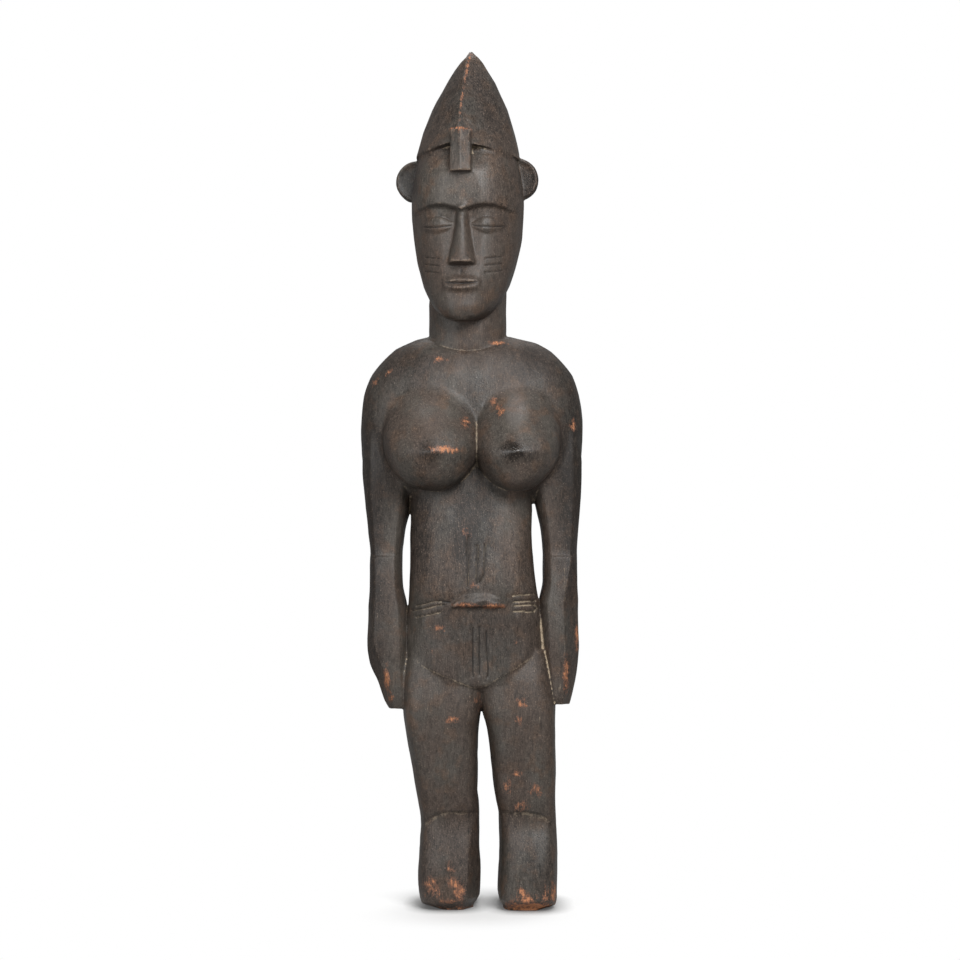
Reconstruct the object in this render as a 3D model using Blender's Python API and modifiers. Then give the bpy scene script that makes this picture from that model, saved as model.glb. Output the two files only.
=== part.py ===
"""A standing female figure carved from one log: high pointed coiffure with a lock on the brow,
disc ears, full breasts, arms that hang free at the waist and press on the thighs, worn leg stumps.

Metres, +Z up. The figure faces -Y. Proportions are written in millimetres of a figure 855 mm tall,
and MM turns them into metres, so the whole carving follows FIGURE_HEIGHT.
"""

import math

import bpy
import numpy as np
from mathutils import Matrix

FIGURE_HEIGHT = 0.855
MM = FIGURE_HEIGHT / 855

# Levels above the ground at which the forms begin, end or are widest.
NAVEL_LEVEL = 308 * MM
ELBOW_LEVEL = 350 * MM
ARMPIT_LEVEL = 401 * MM
CHEST_LEVEL = 465 * MM
SHOULDER_TOP_LEVEL = 571 * MM
CHIN_LEVEL = 583 * MM
LEFT_EAR_LEVEL = 725 * MM
RIGHT_EAR_LEVEL = 726.5 * MM
BRIM_LEVEL = 745 * MM

# The body.
SHOULDER_WIDTH = 222 * MM
CHEST_DEPTH = 100 * MM
CHEST_MIDDLE = 3 * MM
NECK_WIDTH = 77 * MM
NECK_DEPTH = 70 * MM
NECK_OFFSET = -4 * MM
BODY_AXIS = 6 * MM
BACK_GROOVE = 3 * MM
KNEE_LEVEL = 98 * MM
KNEE_DROP = 13 * MM
KNEE_LEDGE = 3 * MM
NAVEL_RIDGE = 6.5 * MM
NAVEL_OFFSET = 6.5 * MM
NAVEL_HALF_WIDTH = 26 * MM
APRON_STEP = 2.4 * MM
APRON_POINT_LEVEL = 220 * MM
APRON_RISE = 36 * MM
FOREARM_STEP = 2 * MM
LEFT_EDGE_LOW, LEFT_EDGE_HIGH = 225 * MM, 275 * MM
RIGHT_EDGE_LOW, RIGHT_EDGE_HIGH = 300 * MM, 352 * MM

# The breasts.
LEFT_BREAST_WIDTH = 98 * MM
RIGHT_BREAST_WIDTH = 88 * MM
BREAST_OVERLAP = 5 * MM
BREAST_HEIGHT = 104 * MM
BREAST_SEAT = 36 * MM
BREAST_REACH = 52 * MM
BREAST_DROOP = 16 * MM
BREAST_LEVEL = 469 * MM
CLEFT = 5 * MM
BREAST_FILLET = 16 * MM
NIPPLE_REACH = 2.4 * MM
NIPPLE_RADIUS = 6 * MM

# The buttocks.
BUTTOCK_RADII = (39 * MM, 34 * MM, 52 * MM)
BUTTOCK_SPACING = 66 * MM
BUTTOCK_LEVEL = 243 * MM
BUTTOCK_DEPTH = 34 * MM

# The head, turned a little to its right.
HEAD_TURN = math.radians(-6)
EAR_RADIUS = 21 * MM
EAR_THICKNESS = 15 * MM
LEFT_EAR_OFFSET = -52.5 * MM
RIGHT_EAR_OFFSET = 49.5 * MM
EAR_DEPTH = 8 * MM
BRIM_RISE = 12 * MM
BRIM_DROP = 45 * MM
CREST_FRONT = 67 * MM
CREST_BACK = 70 * MM
CREST_HALF_WIDTH = 51.5 * MM
CREST_ARC_RADIUS = 245 * MM
TIP_LEAN = 4 * MM
TIP_BLUNTNESS = 3.6 * MM
KEEL_OFFSET = 4 * MM
LOCK_WIDTH = 20 * MM
LOCK_TOP_LEVEL = 768 * MM
LOCK_END_LEVEL = 727 * MM
LOCK_FRONT = 74 * MM

# The face, on the thirds of a drawing book: hairline, brow, foot of the nose, chin.
FACE_HEIGHT = 165 * MM
BROW_SHARE = 0.66
EYE_SHARE = 0.565
NOSE_FOOT_SHARE = 0.33
MOUTH_SHARE = 0.21
EYE_SPREAD = 25 * MM
SOCKET_DEPTH = 6.5 * MM
LID_REACH = 3.4 * MM
NOSE_REACH = 15 * MM
NOSE_ROOT_HALF = 4.5 * MM
NOSE_FOOT_HALF = 12.5 * MM
MUZZLE_REACH = 3 * MM
LIP_REACH = 3.6 * MM

# How finely the forms are laid out, and how finely the carved surface is cut into facets.
SIDES = 96
RINGS = 72
VOXEL = 2.6 * MM
FACET_SHARE = 0.056
CUT_DEPTH = 20 * MM

# Stations of each form, in millimetres: level, left edge, right edge, front, back.
TRUNK = (
    (198, -20, 36, -4, 40),
    (208, -58, 72, -14, 48),
    (218, -66, 76, -45, 51),
    (226, -70, 78, -50, 53),
    (265, -68, 73, -51, 51),
    (296, -64, 68, -53, 45),
    (318, -62, 64, -57, 41),
    (365, -61, 60, -52, 37),
    (400, -61, 60, -47, 40),
    (440, -66, 66, -44, 46),
    (485, -60, 60, -38, 44),
)
# The legs run on below the ground, where the log is sawn off flat.
LEFT_LEG = (
    (-14, -42, -2, -20, 44),
    (0, -48, 1.5, -27, 52),
    (12, -52, 7.5, -38, 59),
    (36, -54, 8, -40, 61),
    (62, -52, 7, -37, 58),
    (88, -51, 7, -33, 53),
    (120, -56, 5, -40, 52),
    (150, -61, 5.5, -45, 53),
    (180, -66, 6.5, -47, 54),
    (196, -68, 9, -48, 54),
    (226, -69, 16, -46, 52),
    (258, -64, 20, -38, 44),
)
RIGHT_LEG = (
    (-14, 34, 78, -30, 44),
    (0, 31, 82, -32, 52),
    (12, 26, 84.5, -45, 59),
    (36, 27, 85, -46, 61),
    (62, 28, 84.5, -42, 58),
    (88, 27, 83.5, -36, 53),
    (120, 22, 83, -41, 52),
    (150, 19, 83, -45, 53),
    (180, 14.5, 83, -47, 54),
    (196, 10, 83, -48, 54),
    (226, 4, 79, -46, 52),
    (258, -2, 74, -38, 44),
)
# The arms' outer edges are measured in from the shoulders' side, the inner ones from the middle.
LEFT_ARM = (
    (199, 28, 66, -27, 5),
    (206, 24, 64, -30, 10),
    (226, 16, 63, -33, 22),
    (246, 8, 63, -34, 29),
    (262, 6, 63, -35, 32),
    (297, 7.5, 65, -34, 35),
    (322, 8.5, 69.5, -32, 37),
    (350, 8.5, 70, -29, 39),
    (375, 6, 67, -29, 41),
    (397, 3.5, 62, -30, 42),
    (430, 0.5, 57, -32, 42),
    (470, 2, 60, -30, 38),
    (500, 15, 62, -20, 30),
)
RIGHT_ARM = (
    (203, 13.5, 79, -28, 7),
    (210, 11.5, 77, -31, 12),
    (226, 7.5, 74, -33, 22),
    (246, 4, 71, -34, 29),
    (262, 3, 69, -35, 32),
    (300, 4, 67, -34, 35),
    (325, 5.5, 71, -32, 37),
    (350, 6, 71, -29, 39),
    (375, 4.5, 68.5, -29, 41),
    (397, 2, 64, -30, 42),
    (430, 0, 58, -32, 42),
    (470, 1.5, 60, -30, 38),
    (500, 13, 62, -20, 30),
)
# The skull and jaw, about the head's own axis.
HEAD = (
    (583, -9, 9, -57, -28),
    (587, -20, 20, -60, -14),
    (598, -32, 32, -62, 8),
    (618, -42, 42, -62, 32),
    (645, -49.5, 49.5, -61, 50),
    (672, -54, 54, -61, 60),
    (700, -55.5, 55.5, -62, 64),
    (725, -53, 53, -61, 63),
    (748, -48, 48, -53, 58),
    (772, -36, 36, -40, 46),
    (792, -18, 18, -22, 28),
)


def clear_scene():
    """Empties the file of what a new scene starts with."""
    for thing in list(bpy.data.objects):
        bpy.data.objects.remove(thing)


def step(low, high, values):
    """Smooth step: 0 below low, 1 above high, with no corner at either end."""
    share = np.clip((values - low) / (high - low), 0, 1)
    return share * share * (3 - 2 * share)


def bump(distance, reach):
    """A rounded swelling: 1 at distance 0, falling like a bell over reach."""
    return np.exp(-((distance / reach) ** 2))


def read_stations(stations, levels):
    """The edges of a form at any level: a smooth curve through its stations that never overshoots."""
    table = np.array(stations, float) * MM
    knots, values = table[:, 0], table[:, 1:]
    slopes = np.diff(values, axis=0) / np.diff(knots)[:, None]
    below, above = slopes[:-1], slopes[1:]
    together = np.where(below * above > 0, below + above, np.inf)
    tangents = np.vstack([slopes[:1], 2 * below * above / together, slopes[-1:]])
    at = np.clip(np.searchsorted(knots, levels) - 1, 0, len(knots) - 2)
    width = (knots[at + 1] - knots[at])[:, None]
    share = (levels - knots[at])[:, None] / width
    rest = 1 - share
    curve = values[at] * rest**2 * (1 + 2 * share) + values[at + 1] * share**2 * (1 + 2 * rest)
    curve += width * share * rest * (tangents[at] * rest - tangents[at + 1] * share)
    return curve.T


def around():
    """Directions round a section, as a row of angles seen from above; -90 degrees is the front."""
    return np.linspace(0, 2 * math.pi, SIDES, endpoint=False)[None, :]


def rounded_section(left, right, front, back, squareness, flats=()):
    """Points round each section: a superellipse between its four edges, planed by flats.

    A flat is a direction in degrees and the share of the section's reach at which the plane lies.
    """
    angle = around()
    half_width = ((right - left) / 2)[:, None]
    half_depth = ((back - front) / 2)[:, None]
    cosine, sine = np.cos(angle), np.sin(angle)
    radius = (np.abs(cosine / half_width) ** squareness + np.abs(sine / half_depth) ** squareness) ** (
        -1 / squareness
    )
    for degrees, share in flats:
        facing = math.radians(degrees)
        reach = np.hypot(half_width * math.cos(facing), half_depth * math.sin(facing))
        slant = np.cos(angle - facing)
        planed = np.where(slant > 0.05, share * reach / np.maximum(slant, 0.05), np.inf)
        radius = np.minimum(radius, planed)
    x = ((left + right) / 2)[:, None] + radius * cosine
    y = ((front + back) / 2)[:, None] + radius * sine
    return x, y


def stacked(stations, squareness, flats=()):
    """A form stacked up from its stations, as x, y and z on a grid of rings by sides."""
    levels = np.linspace(stations[0][0], stations[-1][0], RINGS) * MM
    left, right, front, back = read_stations(stations, levels)
    x, y = rounded_section(left, right, front, back, squareness, flats)
    return x, y, np.broadcast_to(levels[:, None], x.shape)


def shell(x, y, z):
    """The closed skin over a grid of rings: quads between rings, and a lid at each end."""
    rings, sides = x.shape
    points = np.stack([x, y, z], axis=-1).reshape(-1, 3)
    ring, side = np.meshgrid(np.arange(rings - 1), np.arange(sides), indexing="ij")
    here, onward = ring * sides + side, ring * sides + (side + 1) % sides
    faces = np.stack([here, onward, onward + sides, here + sides], axis=-1).reshape(-1, 4).tolist()
    faces.append(list(range(sides))[::-1])
    faces.append(list(range((rings - 1) * sides, rings * sides)))
    return points, faces


def front_share(x, y, z):
    """How far each point of a stacked form looks forward: 1 at the front, 0 from the flanks back."""
    middle_x, middle_y = x.mean(axis=1, keepdims=True), y.mean(axis=1, keepdims=True)
    reach = np.hypot(x - middle_x, y - middle_y)
    return step(0.3, 0.75, (middle_y - y) / reach)


def back_groove(x, y):
    """The shallow furrow down the middle of the back."""
    return BACK_GROOVE * bump(x - BODY_AXIS, 9 * MM) * step(10 * MM, 30 * MM, y)


def trunk():
    """Hips, belly and the core of the chest, with the navel ridge and the pubic apron."""
    x, y, z = stacked(TRUNK, 2.7, flats=((-90, 0.97),))
    forward = front_share(x, y, z)
    across = np.abs(x - BODY_AXIS) / (70 * MM)
    over_ridge = z - NAVEL_LEVEL
    lens = np.sqrt(np.clip(1 - ((x - NAVEL_OFFSET) / NAVEL_HALF_WIDTH) ** 2, 0.0025, 1))
    ridge_top = (15.5 * lens - 7) * MM
    ridge = step(-8, -5, over_ridge / MM) * (1 - step(ridge_top - 11 * MM * lens, ridge_top, over_ridge))
    lumps = 0.82 + 0.18 * np.cos((x - 0.6 * z) / (3.2 * MM)) * np.cos(z / (4 * MM))
    ridge = np.where(lens > 0.05, ridge * lens**0.4 * lumps, 0)
    apron_edge = APRON_POINT_LEVEL + APRON_RISE * (1 + 0.18 * np.sign(x - BODY_AXIS)) * across**1.15
    below_apron = 1 - step(-2 * MM, 2 * MM, z - apron_edge)
    y = y - forward * (NAVEL_RIDGE * ridge - APRON_STEP * below_apron) - back_groove(x, y)
    return shell(x, y, z)


def shoulders():
    """Chest, shoulders and upper arms as one dome: superellipse arches both ways."""
    rise = SHOULDER_TOP_LEVEL - CHEST_LEVEL
    fall = CHEST_LEVEL - ARMPIT_LEVEL
    lift = np.sin(np.linspace(-math.pi / 2, math.pi / 2, RINGS))
    levels = CHEST_LEVEL + np.where(lift > 0, rise, fall) * lift
    across_closing = np.where(lift > 0, 2.75, 7)
    along_closing = np.where(lift > 0, 2.75, 2)
    closed = 1e-6
    across = np.maximum(1 - np.abs(lift) ** across_closing, closed) ** (1 / across_closing)
    along = np.maximum(1 - np.abs(lift) ** along_closing, closed) ** (1 / along_closing)
    half_width = SHOULDER_WIDTH / 2 * across * (1 - 0.035 * np.maximum(-lift, 0))
    half_depth = CHEST_DEPTH / 2 * along
    front, back = CHEST_MIDDLE - half_depth, CHEST_MIDDLE + half_depth
    x, y = rounded_section(-half_width, half_width, front, back, 2.5)
    return shell(x, y - back_groove(x, y), np.broadcast_to(levels[:, None], x.shape))


def neck():
    """A thick column, planed lengthways, from inside the shoulders to inside the head."""
    levels = np.linspace(CHIN_LEVEL - 50 * MM, CHIN_LEVEL + 90 * MM, RINGS)
    half_width = np.full(RINGS, NECK_WIDTH / 2)
    front, back = np.full((2, RINGS), [[-NECK_DEPTH / 2], [NECK_DEPTH / 2]]) + 3 * MM
    x, y = rounded_section(NECK_OFFSET - half_width, NECK_OFFSET + half_width, front, back, 2.3)
    return shell(x, y, np.broadcast_to(levels[:, None], x.shape))


def leg(stations, outward, planed_low, planed_high, worn):
    """A leg, square in section, with a ledge at the knee.

    The knee ledge is an arch that falls away on the outer side, where outward is -1 or 1. The inner
    front edge is planed off at the foot, and less and less up the thigh, from planed_low to
    planed_high. The outer front corner is worn round at the sole, to worn.
    """
    levels = np.linspace(stations[0][0], stations[-1][0], RINGS)[:, None] * MM
    planed = planed_low + (planed_high - planed_low) * step(10 * MM, 150 * MM, levels)
    rounded = worn + (1.42 - worn) * np.clip(levels / (8 * MM), 0, 1)
    inner, outer = -90 - outward * 60, -90 + outward * 60
    x, y, z = stacked(stations, 4.3, flats=((inner, planed), (outer, rounded), (90, 0.96)))
    middle = x.mean(axis=1, keepdims=True)
    out = np.clip(outward * (x - middle) / (28 * MM), 0, 1)
    above = z - (KNEE_LEVEL - KNEE_DROP * out**2)
    ledge = step(-2.6 * MM, 2.6 * MM, above) * (1 - step(4 * MM, 50 * MM, above))
    return shell(x, y - KNEE_LEDGE * ledge * front_share(x, y, z), z)


def hung(stations, side):
    """An arm's stations with left and right edges, for the side -1 or 1: the outer edge is measured
    in from the shoulders' side, the inner one out from the middle."""
    reach = SHOULDER_WIDTH / 2 / MM
    rows = []
    for level, outer_in, inner_out, front, back in stations:
        rows.append((level, *sorted((side * (reach - outer_in), side * inner_out)), front, back))
    return rows


def arm(stations, outer, edge_low, edge_high):
    """An arm that hangs from the shoulder dome. Below the elbow its front stands a little proud, and
    its outer front edge is planed off more and more from edge_high down to edge_low."""
    levels = np.linspace(stations[0][0], stations[-1][0], RINGS)[:, None] * MM
    planed = 1.12 - 0.27 * (1 - step(edge_low, edge_high, levels))
    front_outer = -90 + 0.6 * (outer + 90)
    x, y, z = stacked(stations, 2.9, flats=((-90, 0.93), (outer, 0.93), (front_outer, planed)))
    forearm = 1 - step(ELBOW_LEVEL - 1.5 * MM, ELBOW_LEVEL + 1.5 * MM, z)
    return shell(x, y - FOREARM_STEP * forearm * front_share(x, y, z), z)


def bulge(centre, radii, squareness=2.0):
    """A swelling whose pole points to the front or back: rings of a superellipse, as unit rows."""
    lift = np.linspace(0, math.pi / 2, RINGS)[:, None]
    spread, reach = np.cos(lift) ** (2 / squareness), np.sin(lift)
    angle = around()
    x = centre[0] + radii[0] * spread * np.cos(angle)
    z = centre[2] + radii[2] * spread * np.sin(angle)
    return x, centre[1] + radii[1] * reach * np.ones_like(x), z


def chest_front(x, z):
    """The front of the dome of the chest at each point: a superellipse arch that closes upwards."""
    lift = np.clip((z - CHEST_LEVEL) / (SHOULDER_TOP_LEVEL - CHEST_LEVEL), 0, 0.99)
    closing = (1 - lift**2.75) ** (1 / 2.75)
    across = np.clip(np.abs(x) / (SHOULDER_WIDTH / 2 * closing), 0, 1)
    return CHEST_MIDDLE - CHEST_DEPTH / 2 * closing * (1 - across**2.5) ** (1 / 2.5)


def breast(centre_x, width):
    """A round breast, height = (1 - r^2.15)^n, sheared down to a low nipple on a soft level edge.

    Its upper side grows out of the chest by a smooth maximum of the two heights; its under side
    and the cleft are cut in sharply.
    """
    share, angle = np.linspace(1.3, 0, RINGS)[:, None], around()
    upper = step(0, 0.9, np.sin(angle))
    swell = np.clip(1 - share**2.15, 0, 1) ** (0.5 + 0.35 * upper)
    x = centre_x + width / 2 * share * np.cos(angle)
    z = BREAST_LEVEL + BREAST_HEIGHT / 2 * share * np.sin(angle) - BREAST_DROOP * swell
    nipple_level = BREAST_LEVEL - BREAST_DROOP
    edge = 2 * MM * swell * bump(z - nipple_level, 12 * MM)
    nipple = NIPPLE_REACH * bump(np.hypot(x - centre_x, z - nipple_level), NIPPLE_RADIUS)
    tilt = 0.14 * np.maximum(z - nipple_level, 0)
    sunk = 1.6 * BREAST_REACH * np.maximum(share - 1, 0)
    y = tilt + sunk - BREAST_SEAT - BREAST_REACH * swell - edge - nipple
    chest = chest_front(x, z)
    proud = chest - y
    fillet = np.maximum(BREAST_FILLET * upper, 0.01 * MM)
    round_off = np.maximum(fillet - np.abs(proud), 0) ** 2 / (4 * fillet)
    blended = chest - np.maximum(proud, 0) - round_off + 1.5 * MM * step(1, 1.6, -proud / fillet)
    y = np.where(upper > 0.02, blended, y)
    x, y, z = (np.vstack([grid[:1], grid]) for grid in (x, y, z))
    y[0] += 14 * MM
    return shell(x, y, z)


def buttock(centre_x):
    """A low rounded swelling at the back of the hips."""
    centre = (centre_x, BUTTOCK_DEPTH - 4 * MM, BUTTOCK_LEVEL)
    x, y, z = bulge(centre, BUTTOCK_RADII)
    x, y, z = (np.vstack([grid[:1], grid])[:, ::-1] for grid in (x, y, z))
    y[0] -= 14 * MM
    return shell(x, y, z)


def face_relief(x, z):
    """How far the face stands out of the plain skull at each point of its front.

    Two brow arches meet in the root of a long ridged nose. Under them the sockets and cheeks are
    cut back, closed lids swell, and full lips stand on a low muzzle above a small chin.
    """
    share = (z - CHIN_LEVEL) / FACE_HEIGHT
    side = np.abs(x)
    from_pupil = (side - EYE_SPREAD) / (16.5 * MM)
    arch = np.cos(np.clip(from_pupil * 0.62, -1.2, 1.2) * math.pi / 2)
    brow = BROW_SHARE - 0.012 + 0.035 * arch
    under_brow = 1 - step(-0.022, 0.008, share - brow)
    hollow = 0.6 + 0.4 * step(0.3, 0.58, share)
    cheek = SOCKET_DEPTH * under_brow * hollow * step(0.02, 0.4, share)
    cheek += 2.2 * MM * bump(side - 13 * MM, 7 * MM) * bump(share - 0.6, 0.05)
    scoop = 4 * MM * bump(x, 17 * MM) * step(0.86, 0.98, share)
    down = np.clip((BROW_SHARE - share) / (BROW_SHARE - NOSE_FOOT_SHARE), 0, 1)
    nose_half = NOSE_ROOT_HALF + (NOSE_FOOT_HALF - NOSE_ROOT_HALF) * down**1.5
    section = np.clip(1 - (side / (nose_half + 1.5 * MM)) ** 2.2, 0, 1) ** 0.75
    nose_foot = step(NOSE_FOOT_SHARE - 0.012, NOSE_FOOT_SHARE + 0.012, share)
    nose_top = 1 - step(BROW_SHARE - 0.06, BROW_SHARE + 0.06, share)
    nose = NOSE_REACH * (0.42 + 0.58 * down**1.1) * section * nose_foot * nose_top
    wing = 2.6 * MM * bump(side - 10 * MM, 4 * MM) * bump(share - NOSE_FOOT_SHARE - 0.026, 0.024)
    almond = 1 - from_pupil**2 - ((share - EYE_SHARE) / 0.052) ** 2 * (1 + 0.8 * from_pupil**2)
    lid = LID_REACH * np.clip(almond, 0, 1) ** 0.6
    from_mouth = np.hypot(x / (26 * MM), (share - MOUTH_SHARE) / 0.14)
    muzzle = MUZZLE_REACH * (1 - step(0.2, 1.1, from_mouth))
    corner = side / (18.5 * MM)
    taper = np.clip(1 - corner**2, 0, 1) ** 0.5
    upper_lip = LIP_REACH * taper * bump(share - MOUTH_SHARE - 0.022 + 0.012 * corner**2, 0.018)
    lower_lip = 1.1 * LIP_REACH * taper * bump(share - MOUTH_SHARE + 0.024 - 0.01 * corner**2, 0.02)
    chin = 2.6 * MM * bump(x, 14 * MM) * bump(share - 0.07, 0.055)
    return nose + wing + lid + muzzle + upper_lip + lower_lip + chin - cheek - scoop


def head():
    """Skull and jaw with the carved face."""
    levels = np.linspace(HEAD[0][0], HEAD[-1][0], RINGS)[:, None] * MM
    flat_front = 0.955 + 0.045 * step(BROW_SHARE, 1, (levels - CHIN_LEVEL) / FACE_HEIGHT)
    x, y, z = stacked(HEAD, 2.35, flats=((-90, flat_front),))
    return shell(x, y - front_share(x, y, z) * face_relief(x, z), z)


def coiffure():
    """The high pointed coiffure: a pointed arch from the front, lens-shaped in plan with a keel
    before and behind, and an overhanging brim that rises over the brow and drops to the nape."""
    angle = around()
    up = np.linspace(0, 1, RINGS)[:, None] ** 0.8
    across, along = np.cos(angle), np.sin(angle)
    lift = np.where(along < 0, BRIM_RISE * (1 - np.abs(across)), -BRIM_DROP * along**2)
    z = BRIM_LEVEL + lift + up * (FIGURE_HEIGHT - BRIM_LEVEL - lift)
    below_tip = np.maximum(FIGURE_HEIGHT - z, 0)
    tall = FIGURE_HEIGHT - BRIM_LEVEL
    chord = math.hypot(CREST_HALF_WIDTH, tall) / 2
    sag = CREST_ARC_RADIUS - math.sqrt(CREST_ARC_RADIUS**2 - chord**2)
    straight = below_tip / tall
    bow = 4 * sag * np.clip(straight * (1 - straight), 0, None)
    blunt = TIP_BLUNTNESS * step(0, 0.12, straight) * (1 - np.clip(straight, 0, 1))
    half_width = CREST_HALF_WIDTH * np.clip(straight, 0, 1) + bow + blunt
    front = CREST_FRONT * (below_tip / (tall - BRIM_RISE)) ** 0.74
    back = CREST_BACK * np.clip(below_tip / tall, 0, 1) ** 0.62
    fullness = 1.7 + 0.9 * np.clip(straight, 0, 1) ** 2
    reach = np.where(along < 0, front, back)
    radius_low, radius_high = np.zeros_like(z), 2 * reach + half_width
    for _ in range(40):
        radius = (radius_low + radius_high) / 2
        depth = np.clip(np.abs(radius * along) / np.maximum(reach, 1e-9), 0, 1)
        inside = (np.abs(radius * across) < half_width * (1 - depth**fullness)) & (
            np.abs(radius * along) < reach
        )
        radius_low = np.where(inside, radius, radius_low)
        radius_high = np.where(inside, radius_high, radius)
    keel_share = np.clip(-radius_low * along / np.maximum(front, 1e-9), 0, 1) ** 2
    x, y = radius_low * across + TIP_LEAN * up - KEEL_OFFSET * keel_share, radius_low * along
    under = [x[:1] * 0.7, y[:1] * 0.7, z[:1] - 1 * MM]
    x, y, z = (np.vstack([low, grid]) for low, grid in zip(under, (x, y, z)))
    return shell(x, y, z)


def lock():
    """The lock of hair that hangs square-ended from the brim over the brow."""
    levels = np.linspace(LOCK_END_LEVEL, LOCK_TOP_LEVEL, 12)
    rise = (levels - LOCK_END_LEVEL) / (LOCK_TOP_LEVEL - LOCK_END_LEVEL)
    half = np.full(12, LOCK_WIDTH / 2)
    front = 2 * MM * rise - LOCK_FRONT
    x, y = rounded_section(-half, half, front, front + 24 * MM, 4.5)
    return shell(x, y, np.broadcast_to(levels[:, None], x.shape))


def ear(offset, level):
    """An ear carved as an upright disc, faintly dished in front."""
    profile = np.array(
        ((0.02, 0.5), (0.9, 0.48), (0.99, 0.3), (1, 0), (0.99, -0.35), (0.9, -0.5), (0.68, -0.42), (0.02, -0.34))
    )
    radius = EAR_RADIUS * profile[:, :1]
    angle = -around()
    x = offset + radius * np.cos(angle)
    z = level + radius * np.sin(angle)
    y = EAR_DEPTH + EAR_THICKNESS * profile[:, 1:] + np.zeros_like(x)
    return shell(x, y, z)


def turned(form):
    """A form of the head, turned on the neck with the rest of the head."""
    points, faces = form
    cosine, sine = math.cos(HEAD_TURN), math.sin(HEAD_TURN)
    x, y = points[:, 0].copy(), points[:, 1].copy()
    points[:, 0] = NECK_OFFSET + cosine * x - sine * y
    points[:, 1] = sine * x + cosine * y
    return points, faces


def forms():
    """Every form that the log was cut to, each as a closed skin that overlaps its neighbours."""
    half_seat = BUTTOCK_SPACING / 2
    yield trunk()
    yield shoulders()
    yield neck()
    yield leg(LEFT_LEG, -1, 1.09, 1.27, 0.75)
    yield leg(RIGHT_LEG, 1, 1.24, 1.34, 0.85)
    yield arm(hung(LEFT_ARM, -1), -180, LEFT_EDGE_LOW, LEFT_EDGE_HIGH)
    yield arm(hung(RIGHT_ARM, 1), 0, RIGHT_EDGE_LOW, RIGHT_EDGE_HIGH)
    yield breast(CLEFT - LEFT_BREAST_WIDTH / 2 + BREAST_OVERLAP, LEFT_BREAST_WIDTH)
    yield breast(CLEFT + RIGHT_BREAST_WIDTH / 2 - BREAST_OVERLAP, RIGHT_BREAST_WIDTH)
    yield buttock(BODY_AXIS - half_seat)
    yield buttock(BODY_AXIS + half_seat)
    yield turned(head())
    yield turned(coiffure())
    yield turned(lock())
    yield turned(ear(LEFT_EAR_OFFSET, LEFT_EAR_LEVEL))
    yield turned(ear(RIGHT_EAR_OFFSET, RIGHT_EAR_LEVEL))


def wood():
    """Hard wood under a dark, hand-worn patina."""
    material = bpy.data.materials.new("dark_patinated_wood")
    material.use_nodes = True
    shader = material.node_tree.nodes["Principled BSDF"]
    shader.inputs["Base Color"].default_value = (0.045, 0.034, 0.028, 1)
    shader.inputs["Roughness"].default_value = 0.5
    shader.inputs["Metallic"].default_value = 0.0
    return material


def rough_log():
    """All the forms in one mesh, still as overlapping skins."""
    points, faces = [], []
    count = 0
    for form_points, form_faces in forms():
        points.append(form_points)
        faces += [[corner + count for corner in face] for face in form_faces]
        count += len(form_points)
    mesh = bpy.data.meshes.new("carved_figure")
    mesh.from_pydata(np.vstack(points).tolist(), [], faces)
    mesh.update()
    return bpy.data.objects.new("carved_figure", mesh)


def ground_cutter(collection):
    """The block below the ground that takes the legs off flat, so that the figure stands."""
    bpy.ops.mesh.primitive_cube_add(size=1, location=(0, 0, -CUT_DEPTH / 2))
    cutter = bpy.context.object
    cutter.name = "ground_cutter"
    cutter.scale = (2 * SHOULDER_WIDTH, 2 * SHOULDER_WIDTH, CUT_DEPTH)
    cutter.hide_render = True
    cutter.display_type = "WIRE"
    for home in list(cutter.users_collection):
        home.objects.unlink(cutter)
    collection.objects.link(cutter)
    return cutter


def carve(figure, cutter):
    """Fuses the skins into one body, pares its surface to facets and takes the soles off flat."""
    fused = figure.modifiers.new("fused", "REMESH")
    fused.mode = "VOXEL"
    fused.voxel_size = VOXEL
    fused.use_smooth_shade = True
    eased = figure.modifiers.new("eased", "SMOOTH")
    eased.factor = 0.5
    eased.iterations = 2
    pared = figure.modifiers.new("pared", "DECIMATE")
    pared.ratio = FACET_SHARE
    soles = figure.modifiers.new("soles", "BOOLEAN")
    soles.operation = "DIFFERENCE"
    soles.object = cutter


def set_origin(figure):
    """Shifts the figure so that the origin is under the middle of its outline, on the ground."""
    bpy.context.view_layer.update()
    shape = figure.evaluated_get(bpy.context.evaluated_depsgraph_get()).to_mesh()
    corners = np.empty(len(shape.vertices) * 3)
    shape.vertices.foreach_get("co", corners)
    corners = corners.reshape(-1, 3)
    middle = (corners.min(axis=0) + corners.max(axis=0)) / 2
    figure.data.transform(Matrix.Translation((-middle[0], -middle[1], 0)))


def main():
    clear_scene()
    parts = bpy.data.collections.new("standing_wooden_figure")
    cutters = bpy.data.collections.new("cutters")
    bpy.context.scene.collection.children.link(parts)
    bpy.context.scene.collection.children.link(cutters)
    figure = rough_log()
    parts.objects.link(figure)
    figure.data.materials.append(wood())
    carve(figure, ground_cutter(cutters))
    set_origin(figure)


main()
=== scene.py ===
"""The looks of a standing female figure, cut with adze and knife from one log and darkened by handling.

The figure is one piece. Each form of the body has its own section, which lays out the form's skin;
the last sections fuse the skins, cut the surface, and give the wood its patina.
Lengths are in metres: MM is one millimetre on the figure. Tables are in millimetres. Left and right
are those of someone who looks at the figure's front.
"""

import math

import bpy
import numpy as np
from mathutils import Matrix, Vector
from mathutils.kdtree import KDTree


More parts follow.
